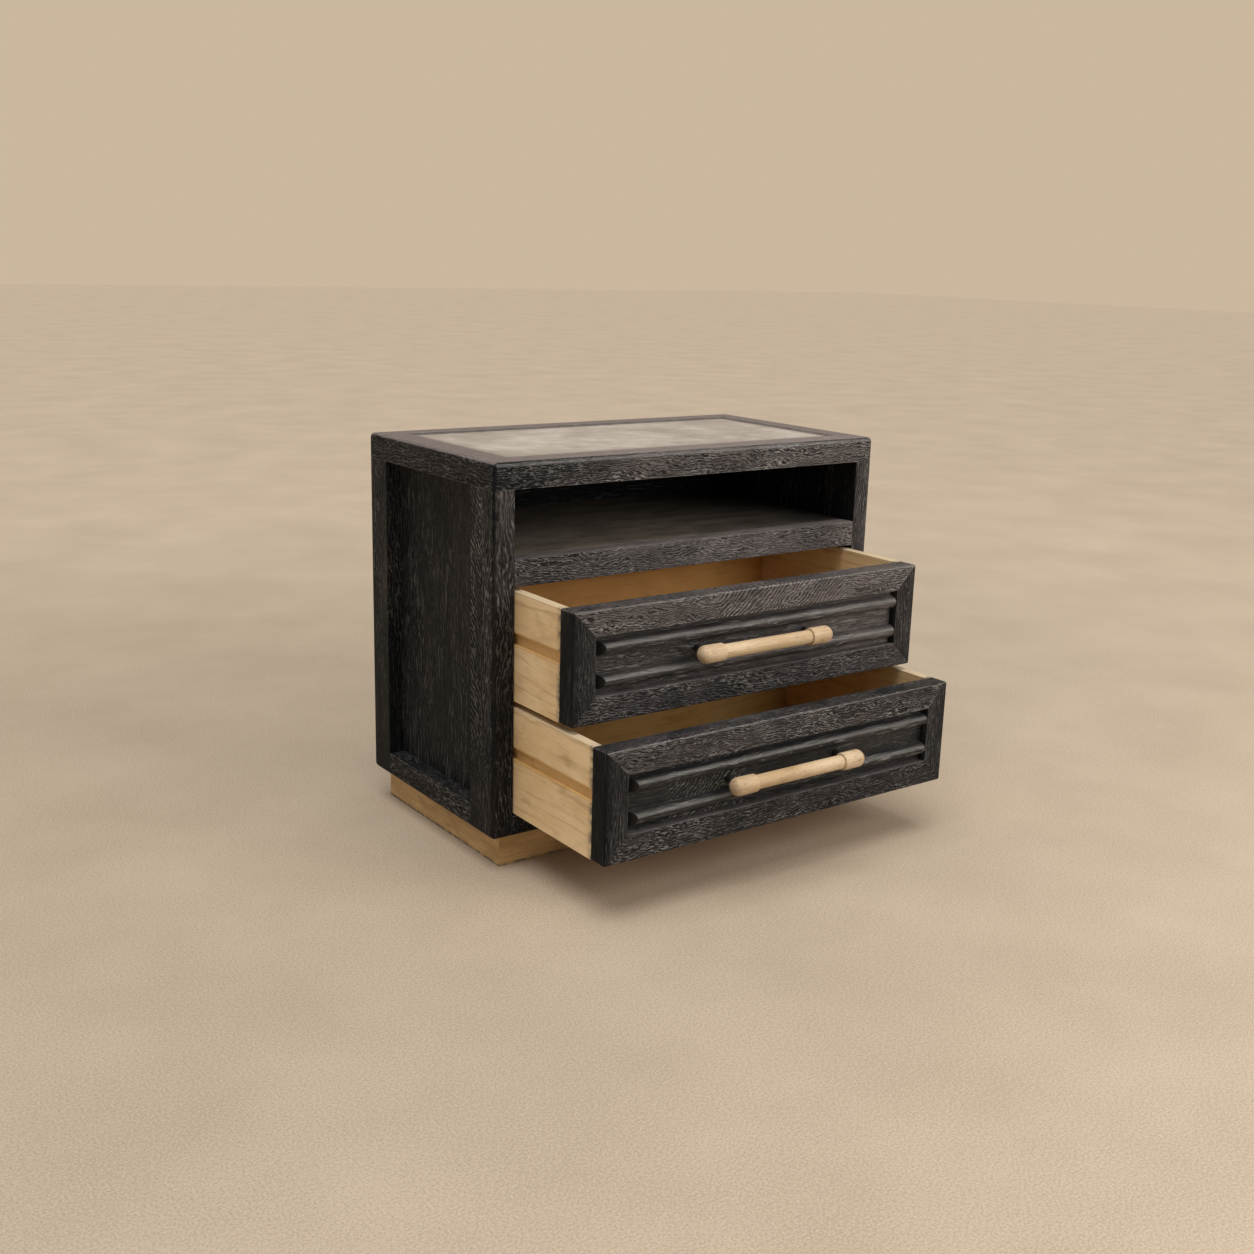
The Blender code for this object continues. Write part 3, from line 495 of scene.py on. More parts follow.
def pale_wood_group():
    """Pale wood with a clear finish: thin growth lines, smudges, dark flecks and a few small knots.

    The stain input is where dark finish or dirt has settled, and it also paints the shade where the
    plinth meets the floor. The top-edge input paints a highlight on a drawer side's level top edge,
    as light falling on it. The golden input gives raw wood's colour and also paints shade: in the
    runner's groove, and inside the drawers, most in the lower one.
    """
    group, graph, start, end = new_group(
        "pale_wood",
        [
            ("Vector", VECTOR),
            ("Light", COLOUR),
            ("Dark", COLOUR),
            ("Ring width", FLOAT),
            ("Rings", FLOAT),
            ("Flecks", FLOAT),
            ("Knots", FLOAT),
            ("Stain and shade", FLOAT),
            ("Top sheen", FLOAT),
            ("Gold and shade", FLOAT),
        ],
        SURFACE,
    )
    given = start.outputs
    place = given["Vector"]
    fibre = graph.noise(place, 16.0, 560.0, 3.0, 0.6)
    patch = graph.noise(place, 8.0, 24.0, 4.0, 0.6)
    depth = graph.math("MULTIPLY_ADD", fibre, 0.5, graph.math("MULTIPLY", patch, 0.9))
    colour = graph.blend(graph.step(depth, 0.45, 0.95), given["Light"], given["Dark"])
    smudge = graph.step(graph.noise(place, 16.0, 34.0, 3.0, 0.6), 0.52, 0.74, 0.0, 0.50)
    colour = graph.blend(smudge, colour, graph.vector("MULTIPLY", colour, SMUDGE_TINT))
    colour = graph.blend(late_wood(graph, given, place), colour, LATE_WOOD_COLOUR)
    fleck = graph.step(graph.noise(place, 110.0, 560.0), 0.61, 0.72)
    fleck = graph.math("MULTIPLY", fleck, given["Flecks"])
    colour = graph.blend(fleck, colour, FLECK_COLOUR)
    colour = graph.blend(small_knots(graph, given, place), colour, KNOT_COLOUR)
    # Golden tint: raw wood, and painted shade where it is set
    golden_shade = graph.vector("MULTIPLY", colour, GOLDEN_SHADE_TINT)
    colour = graph.blend(given["Gold and shade"], colour, golden_shade)
    # Painted highlight on a level top edge
    top_sheen = graph.math("MULTIPLY", given["Top sheen"], graph.step(fibre, 0.25, 0.75, 1.0, 0.6))
    colour = graph.blend(top_sheen, colour, TOP_SHEEN_COLOUR)
    # Stain and dirt, and painted shade at the plinth's foot
    smear = graph.step(graph.noise(place, 60.0, 70.0, 5.0, 0.7), 0.36, 0.60, 0.15, 1.0)
    smear = graph.math("MULTIPLY", smear, given["Stain and shade"])
    colour = graph.blend(smear, colour, STAIN_AND_SHADE_COLOUR)
    height = graph.math("SUBTRACT", graph.math("MULTIPLY", fibre, 0.7), fleck)
    graph.put(end.inputs["Color"], colour)
    graph.put(end.inputs["Roughness"], graph.math("MULTIPLY_ADD", fibre, 0.16, 0.46))
    graph.put(end.inputs["Height"], height)
    return group


Wood = namedtuple("Wood", "slot group look bump specular")
OAK_GROUP = dark_oak_group()
PALE_GROUP = pale_wood_group()
WOODS = {
    "dark_oak": Wood("dark_oak", OAK_GROUP, {}, bump=0.6, specular=0.04),
    "satin_oak": Wood("dark_oak", OAK_GROUP, {}, bump=0.7, specular=0.22),
    "pine": Wood(
        "pale_pine",
        PALE_GROUP,
        {
            "Light": (0.860, 0.645, 0.382, 1.0),
            "Dark": (0.700, 0.480, 0.245, 1.0),
            "Ring width": 0.012,
            "Rings": 0.32,
            "Flecks": 0.10,
            "Knots": 0.5,
        },
        bump=0.25,
        specular=0.35,
    ),
    "inner_pine": Wood(
        "pale_pine",
        PALE_GROUP,
        {
            "Light": (0.760, 0.510, 0.230, 1.0),
            "Dark": (0.610, 0.385, 0.150, 1.0),
            "Ring width": 0.014,
            "Rings": 0.25,
            "Flecks": 0.08,
            "Knots": 0.7,
        },
        bump=0.25,
        specular=0.35,
    ),
    "plinth": Wood(
        "pale_pine",
        PALE_GROUP,
        {
            "Light": (0.690, 0.450, 0.205, 1.0),
            "Dark": (0.420, 0.255, 0.105, 1.0),
            "Ring width": 0.009,
            "Rings": 0.45,
            "Flecks": 0.50,
            "Knots": 0.3,
        },
        bump=0.3,
        specular=0.35,
    ),
    "turned": Wood(
        "turned_oak",
        PALE_GROUP,
        {
            "Light": (0.630, 0.485, 0.318, 1.0),
            "Dark": (0.400, 0.262, 0.135, 1.0),
            "Ring width": 0.0060,
            "Rings": 0.25,
            "Flecks": 0.60,
            "Knots": 0.0,
        },
        bump=0.35,
        specular=0.4,
    ),
}

# The level input paints level faces lighter, as light from above and sheen falling on them, most on
# the top frame. Below zero, as on the drawer fronts, it paints them darker as shade.
OAK_LOOK = {
    "Scale": 1.0,
    "Swirl": 0.0055,
    "Threads": 0.10,
    "Fade": 0.01,
    "Pale colour": OAK_PALE,
    "Level light": 0.06,
}
RAIL_LOOK = OAK_LOOK | {"Filler": 0.70, "Level light": 0.08}
BOTTOM_RAIL_LOOK = RAIL_LOOK | {"Filler": 0.40}
SIDE_RAIL_LOOK = RAIL_LOOK | {"Scale": 0.78, "Level light": 0.0}
TOP_LOOK = RAIL_LOOK | {"Level light": 0.80}
TOP_SIDE_LOOK = TOP_LOOK | {"Scale": 0.78, "Filler": 0.42}
POST_LOOK = OAK_LOOK | {"Scale": 0.80, "Swirl": 0.004}
PANEL_LOOK = OAK_LOOK | {
    "Scale": 0.85,
    "Swirl": 0.003,
    "Filler": 0.10,
    "Threads": 0.28,
    "Fade": 0.018,
}
SHELF_LOOK = OAK_LOOK | {
    "Swirl": 0.004,
    "Filler": 0.10,
    "Threads": 0.15,
    "Pale colour": SHELF_PALE,
    "Level light": 0.0,
}
SHELF_RAIL_LOOK = OAK_LOOK | {"Filler": 0.92, "Level light": 0.30}
# Drawer fronts: their level faces are painted darker, as shade
FRONT_LOOK = {
    "upper": OAK_LOOK | {"Level light": -0.12},
    "lower": OAK_LOOK | {"Filler": 0.92, "Level light": -0.08},
}
# A bottom rail's ledge is painted lighter, as light from above falls on it
LIT_LEDGE_LOOK = {"Level light": 0.32}
STILE_LOOK = OAK_LOOK | {"Swirl": 0.004, "Threads": 0.12, "Fade": 0.06}
SATIN_LOOK = OAK_LOOK | {"Swirl": 0.003}
SUNK_LOOK = {
    "upper": SATIN_LOOK | {"Filler": 0.25, "Threads": 0.60},
    "lower": SATIN_LOOK,
}
BEAD_LOOK = {
    "upper": SATIN_LOOK | {"Filler": 0.20, "Threads": 0.80, "Fade": 0.12},
    "lower": SATIN_LOOK | {"Filler": 0.15, "Threads": 0.60, "Fade": 0.04},
}
# Drawer backs in lit and shaded copies of the inner wood: painted shade, deeper in the lower
# drawer, which the upper one shadows
BACK_SHADE_LOOK = {
    "upper": {"Light": (0.800, 0.454, 0.167, 1.0), "Dark": (0.654, 0.338, 0.099, 1.0)},
    "lower": {"Light": (0.688, 0.466, 0.189, 1.0), "Dark": (0.562, 0.348, 0.112, 1.0)},
}


def new_material(name):
    material = bpy.data.materials.new(name)
    material.use_nodes = True
    graph = Graph(material.node_tree)
    shader = material.node_tree.nodes["Principled BSDF"]
    place = graph.add("ShaderNodeTexCoord").outputs["Object"]
    return material, graph, shader, place


GRAIN_ORDER = {"X": (0, 1, 2), "Y": (1, 0, 2), "Z": (2, 0, 1)}
GRAIN_WAY = {"X": X, "Y": Y, "Z": Z}


def grain_place(graph, place, grain, offset):
    """The place with the grain along its first coordinate and the tree's heart at its origin."""
    parts = graph.parts(graph.vector("ADD", place, tuple(offset)))
    ordered = {number: parts[axis] for number, axis in enumerate(GRAIN_ORDER[grain])}
    return graph.add("ShaderNodeCombineXYZ", ordered).outputs[0]


def wood_material(name, wood, grain, offset, look):
    """The material, with its graph, its wood group's node and the place that marks go by."""
    material, graph, shader, place = new_material(name)
    node = graph.add("ShaderNodeGroup", node_tree=wood.group)
    graph.put(node.inputs["Vector"], grain_place(graph, place, grain, offset))
    for label, value in (wood.look | look).items():
        node.inputs[label].default_value = value
    relief = graph.add(
        "ShaderNodeBump",
        {"Strength": wood.bump, "Distance": RELIEF, "Height": node.outputs["Height"]},
    )
    graph.put(shader.inputs["Base Color"], node.outputs["Color"])
    graph.put(shader.inputs["Roughness"], node.outputs["Roughness"])
    graph.put(shader.inputs["Normal"], relief.outputs[0])
    shader.inputs["Specular IOR Level"].default_value = wood.specular
    return material, graph, node, place


def mark_side(graph, node, place, drawer, side):
    """Finish bled onto a drawer side behind its front, a painted highlight on its top edge, and a
    golden tint.

    The golden tint, inside the drawer and in the groove for the runner, is partly raw wood's colour
    and partly painted shade, most inside the lower drawer.
    """
    x, y, z = graph.parts(place)
    sideways = graph.math("ABSOLUTE", x)
    low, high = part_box(f"{drawer}_{side}_side")
    runner_low, runner_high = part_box(f"{drawer}_{side}_runner")
    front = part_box(f"{drawer}_front_{side}_stile")[1].y
    face = min(abs(low.x), abs(high.x))
    half = EDGE_DEPTH / 2
    bottom = runner_low.z - EDGE_DEPTH
    top = runner_high.z + EDGE_DEPTH
    stain = graph.step(y, front, front + STAIN_REACH, STAIN_AT_FRONT, 0.0)
    graph.put(node.inputs["Stain and shade"], stain)
    # Painted highlight on the level top edge
    top_sheen = graph.step(z, high.z - EDGE_DEPTH, high.z, 0.0, TOP_EDGE_SHEEN)
    graph.put(node.inputs["Top sheen"], top_sheen)
    # Golden tint in the groove: raw wood and painted shade
    groove = graph.step(sideways, face + half, face + EDGE_DEPTH)
    groove = graph.math("MULTIPLY", groove, graph.step(z, bottom, bottom + half, 0.0, GROOVE_GOLD_SHADE))
    groove = graph.math("MULTIPLY", groove, graph.step(z, top - half, top, 1.0, 0.0))
    # Golden tint inside: painted shade, most in the lower drawer
    inside = graph.step(sideways, face, face + half / 2, INNER_GOLD_SHADE[drawer], 0.0)
    graph.put(node.inputs["Gold and shade"], graph.math("MAXIMUM", groove, inside))


def outward_part(graph, side):
    """How far the surface looks out of the case on this side."""
    return graph.math("MULTIPLY", facing_parts(graph)[0], -1.0 if side == "left" else 1.0)


def mark_post(graph, node, place, side):
    """Grain filled less low down, by its own ramp on a post's front and side, and hardly inside:
    painted shade towards the floor and inside the case.

    The side has a strip of rays, the front is painted lighter high up, as light from above, and the
    right post is paler all over.
    """
    outward = outward_part(graph, side)
    outer = graph.step(outward, *OUTER_FACE)
    inner = graph.step(outward, *INNER_FACE, INNER_SHADE, 1.0)
    _, y, z = graph.parts(place)
    # Painted shade: less filler low down
    front_filler = graph.step(z, *POST_FRONT_FILLER)
    side_filler = graph.step(z, *POST_SIDE_FILLER)
    filler = graph.blend_value(outer, front_filler, side_filler)
    graph.put(node.inputs["Filler"], graph.math("MULTIPLY", filler, inner))
    threads = graph.step(outer, 0.0, 1.0, POST_FRONT_THREADS, POST_SIDE_THREADS)
    graph.put(node.inputs["Threads"], threads)
    rays = graph.math("MULTIPLY", graph.step(y, *POST_RAYS), outer)
    graph.put(node.inputs["Rays"], rays)
    # Front painted lighter high up, as light from above
    front_light = graph.step(z, *POST_LIGHT_HEIGHT, POST_FADE[side], POST_LIGHT_HIGH)
    fade = graph.blend_value(outer, front_light, POST_FADE[side])
    graph.put(node.inputs["Fade"], graph.math("MULTIPLY", inner, fade))


def mark_height(graph, node, place, side, ramp):
    """Grain filled less low down and hardly inside the case: painted shade, darker towards the
    floor and inside.
    """
    inner = graph.step(outward_part(graph, side), *INNER_FACE, INNER_SHADE, 1.0)
    filler = graph.step(graph.parts(place)[2], *ramp)
    graph.put(node.inputs["Filler"], graph.math("MULTIPLY", filler, inner))


def mark_length_tone_and_light(graph, node, place, ramps):
    """Colour that changes from left to right: the finish, and painted sheen and shade where set."""
    x = graph.parts(place)[0]
    for label, ramp in ramps.items():
        graph.put(node.inputs[label], graph.step(x, *ramp))


def mark_rays(graph, node, place, start, stop, fade, filler_off, filler_on):
    """Ray flecks on a part of a board's length."""
    x = graph.parts(place)[0]
    rays = graph.step(x, start - fade, start)
    rays = graph.math("MULTIPLY", rays, graph.step(x, stop, stop + fade, 1.0, 0.0))
    graph.put(node.inputs["Rays"], rays)
    graph.put(node.inputs["Filler"], graph.step(rays, 0.0, 1.0, filler_off, filler_on))


def mark_bead(graph, node, place, drawer):
    """A bead's cut end takes more stain, and its right half less."""
    look = BEAD_LOOK[drawer]
    sideways = graph.math("ABSOLUTE", facing_parts(graph)[0])
    graph.put(node.inputs["Threads"], graph.step(sideways, *CUT_END, look["Threads"], 0.0))
    along = graph.step(graph.parts(place)[0], *BEAD_FADE_LENGTH, 1.0, BEAD_FADE_RIGHT[drawer])
    fade = graph.math("MULTIPLY", graph.step(sideways, *CUT_END, look["Fade"], 0.0), along)
    graph.put(node.inputs["Fade"], fade)


def mark_stile(graph, node, place, stile, side):
    """A stile's edge is filled less than its front, which is painted darker towards that edge as
    shade, most on the left stile.
    """
    low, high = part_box(stile)
    outer = max(abs(low.x), abs(high.x))
    shade = graph.step(
        graph.math("ABSOLUTE", graph.parts(place)[0]),
        outer - STILE_SHADE_FROM,
        outer - STILE_SHADE_TO,
        1.0,
        STILE_EDGE_SHADE[side],
    )
    sideways = graph.math("ABSOLUTE", facing_parts(graph)[0])
    filler = graph.step(sideways, *OUTER_FACE, STILE_FILLER, STILE_FILLER * STILE_EDGE_SHARE)
    graph.put(node.inputs["Filler"], graph.math("MULTIPLY", filler, shade))
    graph.put(node.inputs["Fade"], graph.math("MULTIPLY", shade, STILE_LOOK["Fade"]))


def mark_pull(graph, node, place, pull):
    """Handled ends: a little darker, with more flecks."""
    low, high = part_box(pull)
    half = (high.x - low.x) / 2
    off = graph.math("SUBTRACT", graph.parts(place)[0], (low.x + high.x) / 2)
    off = graph.math("ABSOLUTE", off)
    for label, values in (("Stain and shade", PULL_STAIN), ("Flecks", PULL_FLECKS)):
        graph.put(node.inputs[label], graph.step(off, half - PULL_END_LENGTH, half, *values))


def mark_plinth(graph, node, place):
    """Painted shade along the plinth's lower edge, where it meets the floor."""
    contact_shade = graph.step(graph.parts(place)[2], CONTACT_SHADE_FROM, CONTACT_SHADE_REACH, 1.0, 0.0)
    graph.put(node.inputs["Stain and shade"], contact_shade)


def mark_wood(name, wood_name, graph, node, place):
    """What changes over this piece, by its name."""
    words = name.split("_")
    if name.endswith("_side"):
        mark_side(graph, node, place, words[0], words[1])
    elif name.endswith("_front_post"):
        mark_post(graph, node, place, words[0])
    elif name.endswith("_back_post"):
        mark_height(graph, node, place, words[0], BACK_POST_FILLER)
    elif name.endswith("_side_panel"):
        mark_height(graph, node, place, words[0], SIDE_PANEL_FILLER)
    elif name.endswith("_bead"):
        mark_bead(graph, node, place, words[0])
    elif name.endswith("_stile"):
        mark_stile(graph, node, place, name, words[2])
    elif wood_name == "turned":
        mark_pull(graph, node, place, name)
    elif wood_name == "plinth":
        mark_plinth(graph, node, place)
    if name in RAYS:
        mark_rays(graph, node, place, *RAYS[name])
    if name in LENGTHWISE_TONE_AND_LIGHT:
        mark_length_tone_and_light(graph, node, place, LENGTHWISE_TONE_AND_LIGHT[name])


def stone_material():
    """Mottled grey-beige slab with a faint sheen and a darker rim."""
    material, graph, shader, place = new_material("mottled_stone")
    cloud = graph.noise(place, 7.0, 7.0, 6.0, 0.62)
    mottle = graph.noise(place, 34.0, 34.0, 5.0, 0.6)
    speck = graph.noise(place, 420.0, 420.0)
    tone = graph.math("MULTIPLY_ADD", mottle, 0.4, graph.math("MULTIPLY", cloud, 0.6))
    tone = graph.math("MULTIPLY_ADD", speck, 0.10, tone)
    colour = graph.blend(graph.step(tone, 0.38, 0.72), STONE_DARK, STONE_LIGHT)
    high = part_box("top_panel")[1]
    x, y, _ = graph.parts(place)
    rim = graph.math(
        "MAXIMUM",
        graph.step(graph.math("ABSOLUTE", x), high.x - RIM_REACH, high.x),
        graph.step(graph.math("ABSOLUTE", y), high.y - RIM_REACH, high.y),
    )
    rim = graph.math("MULTIPLY", rim, graph.step(mottle, 0.35, 0.65, 0.30, 0.72))
    colour = graph.blend(rim, colour, STONE_RIM)
    relief = graph.add(
        "ShaderNodeBump", {"Strength": STONE_BUMP, "Distance": RELIEF, "Height": mottle}
    )
    graph.put(shader.inputs["Base Color"], colour)
    graph.put(shader.inputs["Roughness"], graph.step(mottle, 0.3, 0.7, 0.36, 0.52))
    graph.put(shader.inputs["Normal"], relief.outputs[0])
    return material


def steel_material():
    material, graph, shader, place = new_material("black_steel")
    cloud = graph.noise(place, 160.0, 160.0, 4.0)
    graph.put(shader.inputs["Base Color"], graph.blend(cloud, STEEL_DARK, STEEL_LIGHT))
    graph.put(shader.inputs["Roughness"], graph.step(cloud, 0.3, 0.7, 0.38, 0.55))
    shader.inputs["Metallic"].default_value = STEEL_METAL
    return material


def finished_mesh(name, shape):
    mesh = bpy.data.meshes.new(name)
    shape.to_mesh(mesh)
    shape.free()
    return mesh


def is_mitre(face):
    """A mitred end lies at a slant to two axes."""
    return sorted(abs(part) for part in face.normal)[1] > MITRE_SLANT


def eased_mesh(name, source):
    """The node's own shape with its sharp outer edges eased, apart from its mitres."""
    shape = bmesh.new()
    shape.from_mesh(source)
    bmesh.ops.remove_doubles(shape, verts=shape.verts, dist=WELD)
    bmesh.ops.dissolve_limit(shape, angle_limit=FLAT_ANGLE, verts=shape.verts, edges=shape.edges)
    sharp = [
        edge
        for edge in shape.edges
        if edge.is_manifold
        and edge.calc_face_angle_signed() > SHARP_ANGLE
        and not any(is_mitre(face) for face in edge.link_faces)
    ]
    bmesh.ops.bevel(
        shape,
        geom=sharp,
        offset=EASE,
        segments=EASE_SEGMENTS,
        profile=ROUND_PROFILE,
        affect="EDGES",
        clamp_overlap=True,
    )
    return finished_mesh(name, shape)


def bead_mesh(name, low, high):
    """A half-round bar with eased ends, cut back at a slant on the left."""
    middle = (low.z + high.z) / 2
    shape = bmesh.new()
    outline = []
    for step in range(BEAD_STEPS + 1):
        angle = math.pi * step / BEAD_STEPS
        y = high.y - (high.y - low.y) * math.sin(angle)
        z = middle + (high.z - low.z) / 2 * math.cos(angle)
        outline.append(shape.verts.new((low.x, y, z)))
    cap = shape.faces.new(outline)
    swept = bmesh.ops.extrude_face_region(shape, geom=[cap])["geom"]
    moved = [item for item in swept if isinstance(item, bmesh.types.BMVert)]
    bmesh.ops.translate(shape, verts=moved, vec=X * (high.x - low.x))
    bmesh.ops.recalc_face_normals(shape, faces=shape.faces)
    ends = [
        edge
        for edge in shape.edges
        if edge.calc_face_angle_signed() > SHARP_ANGLE
        and abs(edge.verts[0].co.x - edge.verts[1].co.x) < WELD
    ]
    bmesh.ops.bevel(
        shape,
        geom=ends,
        offset=BEAD_EASE,
        segments=EASE_SEGMENTS,
        profile=ROUND_PROFILE,
        affect="EDGES",
    )
    for vert in shape.verts:
        if vert.co.x < low.x + 2 * BEAD_EASE:
            vert.co.x += (high.y - vert.co.y) * BEAD_END_SLANT
    return finished_mesh(name, shape)


def pull_profile(tip, end_radius):
    """Distance from the middle and radius, from one tip to the bar."""
    shoulder = tip - PULL_END_LENGTH
    points = []
    for step in range(TIP_STEPS + 1):
        angle = math.pi / 2 * step / TIP_STEPS
        drop = PULL_TIP_LENGTH * (1 - math.cos(angle))
        points.append((tip - drop, end_radius * math.sin(angle)))
    for step in range(SHOULDER_STEPS + 1):
        angle = math.pi / 2 * step / SHOULDER_STEPS
        rise = PULL_SHOULDER_ROUND * (1 - math.sin(angle))
        drop = PULL_SHOULDER_ROUND * (1 - math.cos(angle))
        points.append((shoulder + rise, PULL_SHOULDER_RADIUS - drop))
    neck_radius = PULL_BAR_RADIUS - PULL_NECK_DEPTH
    points.append((shoulder, neck_radius))
    points.append((shoulder - PULL_NECK_WIDTH / 2, neck_radius))
    points.append((shoulder - PULL_NECK_WIDTH, PULL_BAR_RADIUS))
    return points


def pull_mesh(name, low, high):
    """A turned bar with swelling ends."""
    middle = (low + high) / 2
    half = pull_profile((high.x - low.x) / 2, (high.z - low.z) / 2)
    profile = half + [(-along, radius) for along, radius in reversed(half)]
    shape = bmesh.new()
    points = [shape.verts.new(middle + X * along + Z * radius) for along, radius in profile]
    edges = [shape.edges.new(pair) for pair in zip(points, points[1:])]
    bmesh.ops.spin(
        shape,
        geom=points + edges,
        axis=X,
        cent=middle,
        angle=2 * math.pi,
        steps=TURNED_STEPS,
        use_merge=True,
    )
    bmesh.ops.remove_doubles(shape, verts=shape.verts, dist=WELD)
    bmesh.ops.recalc_face_normals(shape, faces=shape.faces)
    return finished_mesh(name, shape)


def wood_mesh(name, node):
    low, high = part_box(node)
    if node.endswith("_bead"):
        return bead_mesh(name, low, high)
    if node.endswith("_pull"):
        return pull_mesh(name, low, high)
    return eased_mesh(name, frame["nodes"][node].data)


def add_piece(name, mesh, material, body, node):
    """A piece that stands for this node, with its rounds shaded smooth."""
    mesh.shade_smooth()
    mesh.set_sharp_from_angle(angle=SHARP_ANGLE)
    mesh.materials.clear()
    mesh.materials.append(material)
    piece = bpy.data.objects.new(name, mesh)
    bpy.context.scene.collection.objects.link(piece)
    weighted = piece.modifiers.new("weighted_normals", "WEIGHTED_NORMAL")
    weighted.keep_sharp = True
    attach(piece, body)
    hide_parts(node)


def case_plan():
    """Each wooden node of the case: its wood, its grain, the way its show face looks, its look."""
    plan = {
        "top_front_rail": ("dark_oak", "X", -Y, TOP_LOOK),
        "top_back_rail": ("dark_oak", "X", Y, TOP_LOOK),
        "shelf_rail": ("dark_oak", "X", -Y, SHELF_RAIL_LOOK),
        "shelf_board": ("dark_oak", "X", Z, SHELF_LOOK),
        "bottom_rail": ("dark_oak", "X", -Y, BOTTOM_RAIL_LOOK),
        "back_bottom_rail": ("dark_oak", "X", Y, RAIL_LOOK),
        "bottom_board": ("dark_oak", "X", Z, PANEL_LOOK),
        "back_panel": ("dark_oak", "X", Y, PANEL_LOOK),
        "plinth_front_board": ("plinth", "X", -Y, {}),
        "plinth_back_board": ("plinth", "X", Y, {}),
        "plinth_cross_rail": ("plinth", "Y", X, {}),
    }
    for side, out in SIDES:
        plan[f"top_{side}_rail"] = ("dark_oak", "Y", out, TOP_SIDE_LOOK)
        plan[f"{side}_front_post"] = ("dark_oak", "Z", out - Y, POST_LOOK)
        plan[f"{side}_back_post"] = ("dark_oak", "Z", out + Y, POST_LOOK)
        plan[f"{side}_bottom_rail"] = ("dark_oak", "Y", out, SIDE_RAIL_LOOK)
        plan[f"{side}_side_panel"] = ("dark_oak", "Z", out, PANEL_LOOK)
        plan[f"{side}_shelf_cleat"] = ("pine", "Y", -Z, {})
        plan[f"plinth_{side}_board"] = ("plinth", "Y", out, {})
        for drawer in ("upper", "lower"):
            plan[f"{drawer}_{side}_runner"] = ("pine", "Y", out, {})
    return plan


def drawer_plan(drawer):
    """The same for the wooden nodes of one drawer."""
    front = FRONT_LOOK[drawer]
    plan = {
        f"{drawer}_front_top_rail": ("dark_oak", "X", -Y, front),
        f"{drawer}_front_bottom_rail": ("dark_oak", "X", -Y, front | LIT_LEDGE_LOOK),
        f"{drawer}_front_panel": ("satin_oak", "X", -Y, SUNK_LOOK[drawer]),
        f"{drawer}_top_bead": ("satin_oak", "X", -Y, BEAD_LOOK[drawer]),
        f"{drawer}_bottom_bead": ("satin_oak", "X", -Y, BEAD_LOOK[drawer]),
        f"{drawer}_drawer_back": ("inner_pine", "X", -Y, BACK_SHADE_LOOK[drawer]),
        f"{drawer}_drawer_bottom": ("inner_pine", "X", Z, {}),
        f"{drawer}_pull": ("turned", "X", Z, {}),
    }
    for side, out in SIDES:
        plan[f"{drawer}_front_{side}_stile"] = ("dark_oak", "Z", -Y, STILE_LOOK)
        plan[f"{drawer}_{side}_side"] = ("pine", "Y", out, {})
    return plan


def heart_offset(node, wood_name, grain, facing, draw):
    """Moves the tree's heart behind the show face, which then cuts the rings at a slant."""
    low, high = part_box(node)
    way = GRAIN_WAY[grain]
    out = facing.normalized()
    reach = draw.uniform(*(HEART_BEHIND_TURNED if wood_name == "turned" else HEART_BEHIND_BOARD))
    aside = draw.uniform(-HEART_ASIDE, HEART_ASIDE) * reach
    away = out * reach + way.cross(out) * aside
    return away - (low + high) / 2 + way * draw.uniform(*HEART_ALONG)


def dress_wood():
    draw = random.Random(HEART_SEED)
    plan = case_plan() | drawer_plan("upper") | drawer_plan("lower")
    for node, (wood_name, grain, facing, look) in plan.items():
        name = f"{node}_wood"
        wood = WOODS[wood_name]
        offset = heart_offset(node, wood_name, grain, facing, draw)
        material, graph, group_node, place = wood_material(name, wood, grain, offset, look)
        mark_wood(node, wood_name, graph, group_node, place)
        body = frame["nodes"][node]["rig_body"]
        add_piece(name, wood_mesh(name, node), material, body, node)


def dress_rest():
    """The top panel and the pull posts keep their solids."""
    stone = stone_material()
    steel = steel_material()
    for node, thing in frame["nodes"].items():
        if node == "top_panel":
            thing.material_slots[0].material = stone
        elif node.endswith("_post") and "_pull_" in node:
            thing.material_slots[0].material = steel


def add_floor():
    shape = bmesh.new()
    bmesh.ops.create_grid(shape, x_segments=1, y_segments=1, size=FLOOR_HALF)
    mesh = finished_mesh("floor", shape)
    floor = bpy.data.objects.new("floor", mesh)
    bpy.context.scene.collection.objects.link(floor)
    material, graph, shader, place = new_material("pale_floor")
    cloud = graph.noise(place, 3.0, 3.0, 5.0, 0.6)
    grit = graph.noise(place, 330.0, 330.0, 3.0, 0.7)
    tone = graph.math("MULTIPLY_ADD", grit, 1.2, graph.math("MULTIPLY", cloud, 0.35))
    colour = graph.blend(graph.step(tone, 0.58, 0.97), FLOOR_DARK, FLOOR_LIGHT)
    distance = graph.vector("LENGTH", place)
    shade = graph.step(distance, FLOOR_NEAR, FLOOR_FAR, FLOOR_SHADE_NEAR, FLOOR_SHADE_FAR)
    graph.put(shader.inputs["Base Color"], graph.vector("SCALE", colour, shade))
    shader.inputs["Roughness"].default_value = FLOOR_ROUGHNESS
    shader.inputs["Specular IOR Level"].default_value = FLOOR_SPECULAR
    mesh.materials.append(material)


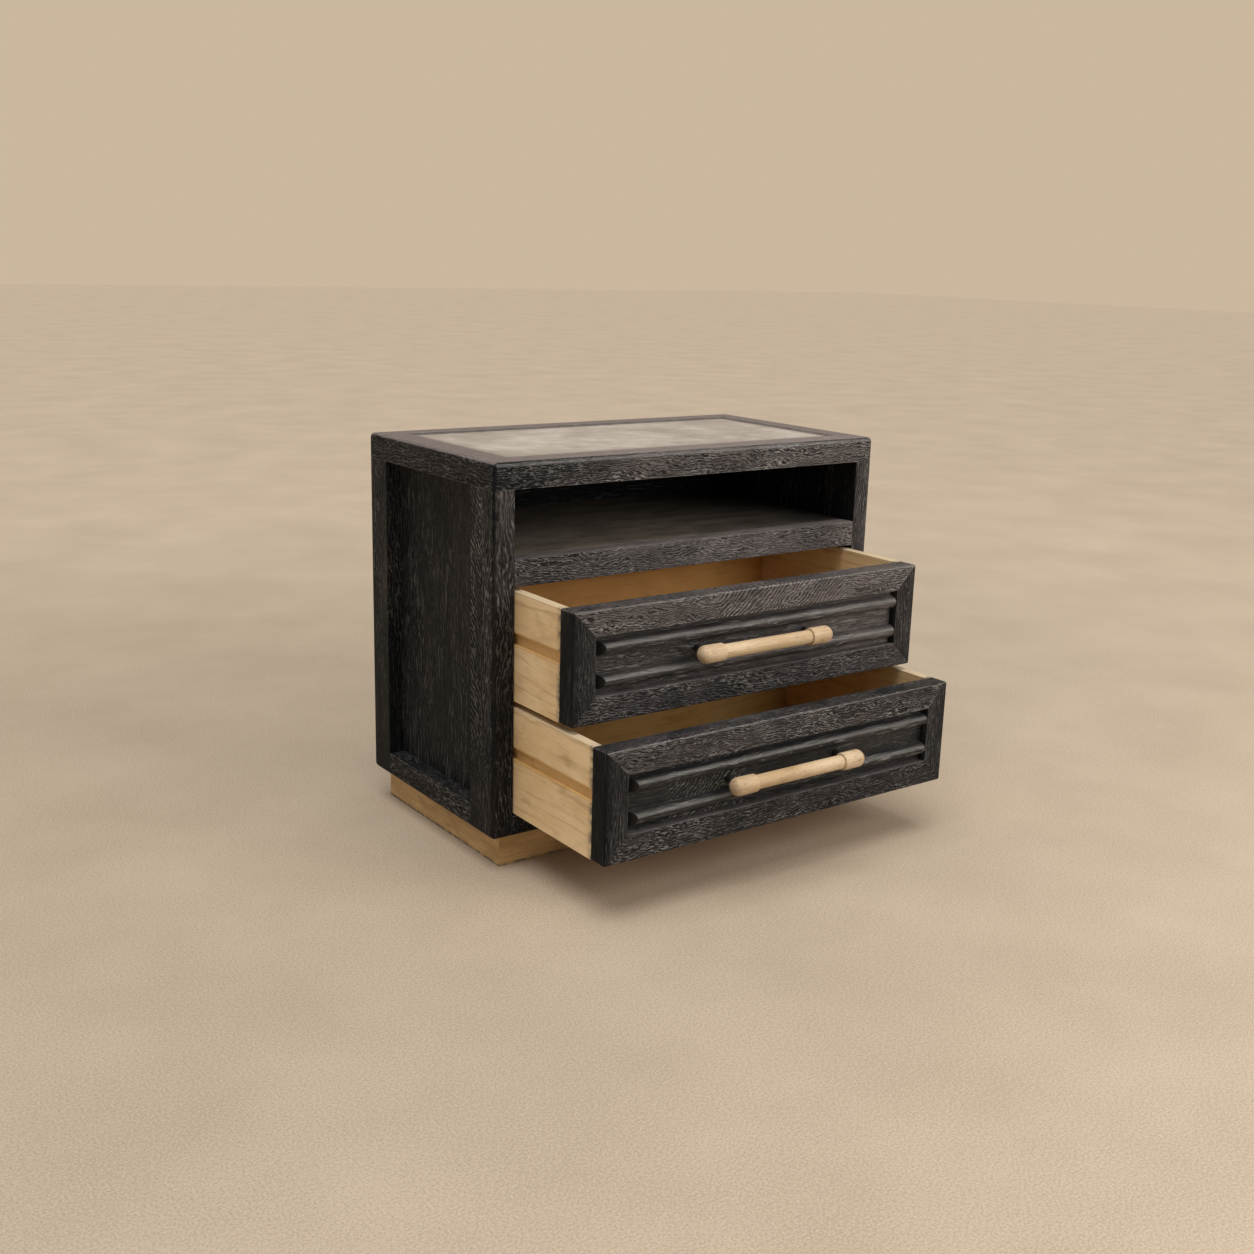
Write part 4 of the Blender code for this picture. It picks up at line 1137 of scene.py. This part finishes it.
def add_world():
    """Soft light from all round, and a plain background where the world is seen or reflected."""
    world = bpy.data.worlds.new("studio")
    world.use_nodes = True
    bpy.context.scene.world = world
    graph = Graph(world.node_tree)
    ambient = world.node_tree.nodes["Background"]
    ambient.inputs["Color"].default_value = AMBIENT_COLOUR
    ambient.inputs["Strength"].default_value = AMBIENT_STRENGTH
    seen = graph.add("ShaderNodeBackground", {"Color": BACKGROUND_COLOUR, "Strength": 1.0})
    path = graph.add("ShaderNodeLightPath").outputs
    direct = graph.math("MAXIMUM", path["Is Camera Ray"], path["Is Glossy Ray"])
    direct = graph.math("MAXIMUM", direct, path["Is Transmission Ray"])
    mix = graph.add("ShaderNodeMixShader", {0: direct, 1: ambient.outputs[0], 2: seen.outputs[0]})
    graph.put(world.node_tree.nodes["World Output"].inputs["Surface"], mix.outputs[0])


def add_lamp(light, place, aim):
    light.color = LAMP_COLOUR
    lamp = bpy.data.objects.new(light.name, light)
    lamp.location = place
    lamp.rotation_mode = "QUATERNION"
    lamp.rotation_quaternion = (aim - place).to_track_quat("-Z", "Y")
    bpy.context.scene.collection.objects.link(lamp)


def add_lamps():
    sun = bpy.data.lights.new("key", "SUN")
    sun.energy = KEY_STRENGTH
    sun.angle = KEY_ANGLE
    add_lamp(sun, KEY_FROM, Vector())
    fill = bpy.data.lights.new("fill", "AREA")
    fill.energy = FILL_POWER
    fill.size = FILL_SIZE
    add_lamp(fill, FILL_PLACE, FILL_AIM)


def add_camera():
    forward = Vector(
        (
            math.sin(CAMERA_YAW) * math.cos(CAMERA_PITCH),
            math.cos(CAMERA_YAW) * math.cos(CAMERA_PITCH),
            math.sin(CAMERA_PITCH),
        )
    )
    level = Vector((math.cos(CAMERA_YAW), -math.sin(CAMERA_YAW), 0))
    upright = level.cross(forward)
    right = level * math.cos(CAMERA_ROLL) + upright * math.sin(CAMERA_ROLL)
    up = upright * math.cos(CAMERA_ROLL) - level * math.sin(CAMERA_ROLL)
    lens = bpy.data.cameras.new("camera")
    lens.sensor_width = SENSOR_MM
    lens.lens = FOCAL_PIXELS / PICTURE_PIXELS * SENSOR_MM
    camera = bpy.data.objects.new("camera", lens)
    turn = Matrix((right, up, -forward)).transposed()
    camera.matrix_world = Matrix.Translation(CAMERA_PLACE) @ turn.to_4x4()
    bpy.context.scene.collection.objects.link(camera)
    bpy.context.scene.camera = camera


dress_wood()
dress_rest()
add_floor()
add_world()
add_lamps()
add_camera()
bpy.context.scene.view_settings.view_transform = "Standard"

bpy.context.view_layer.update()
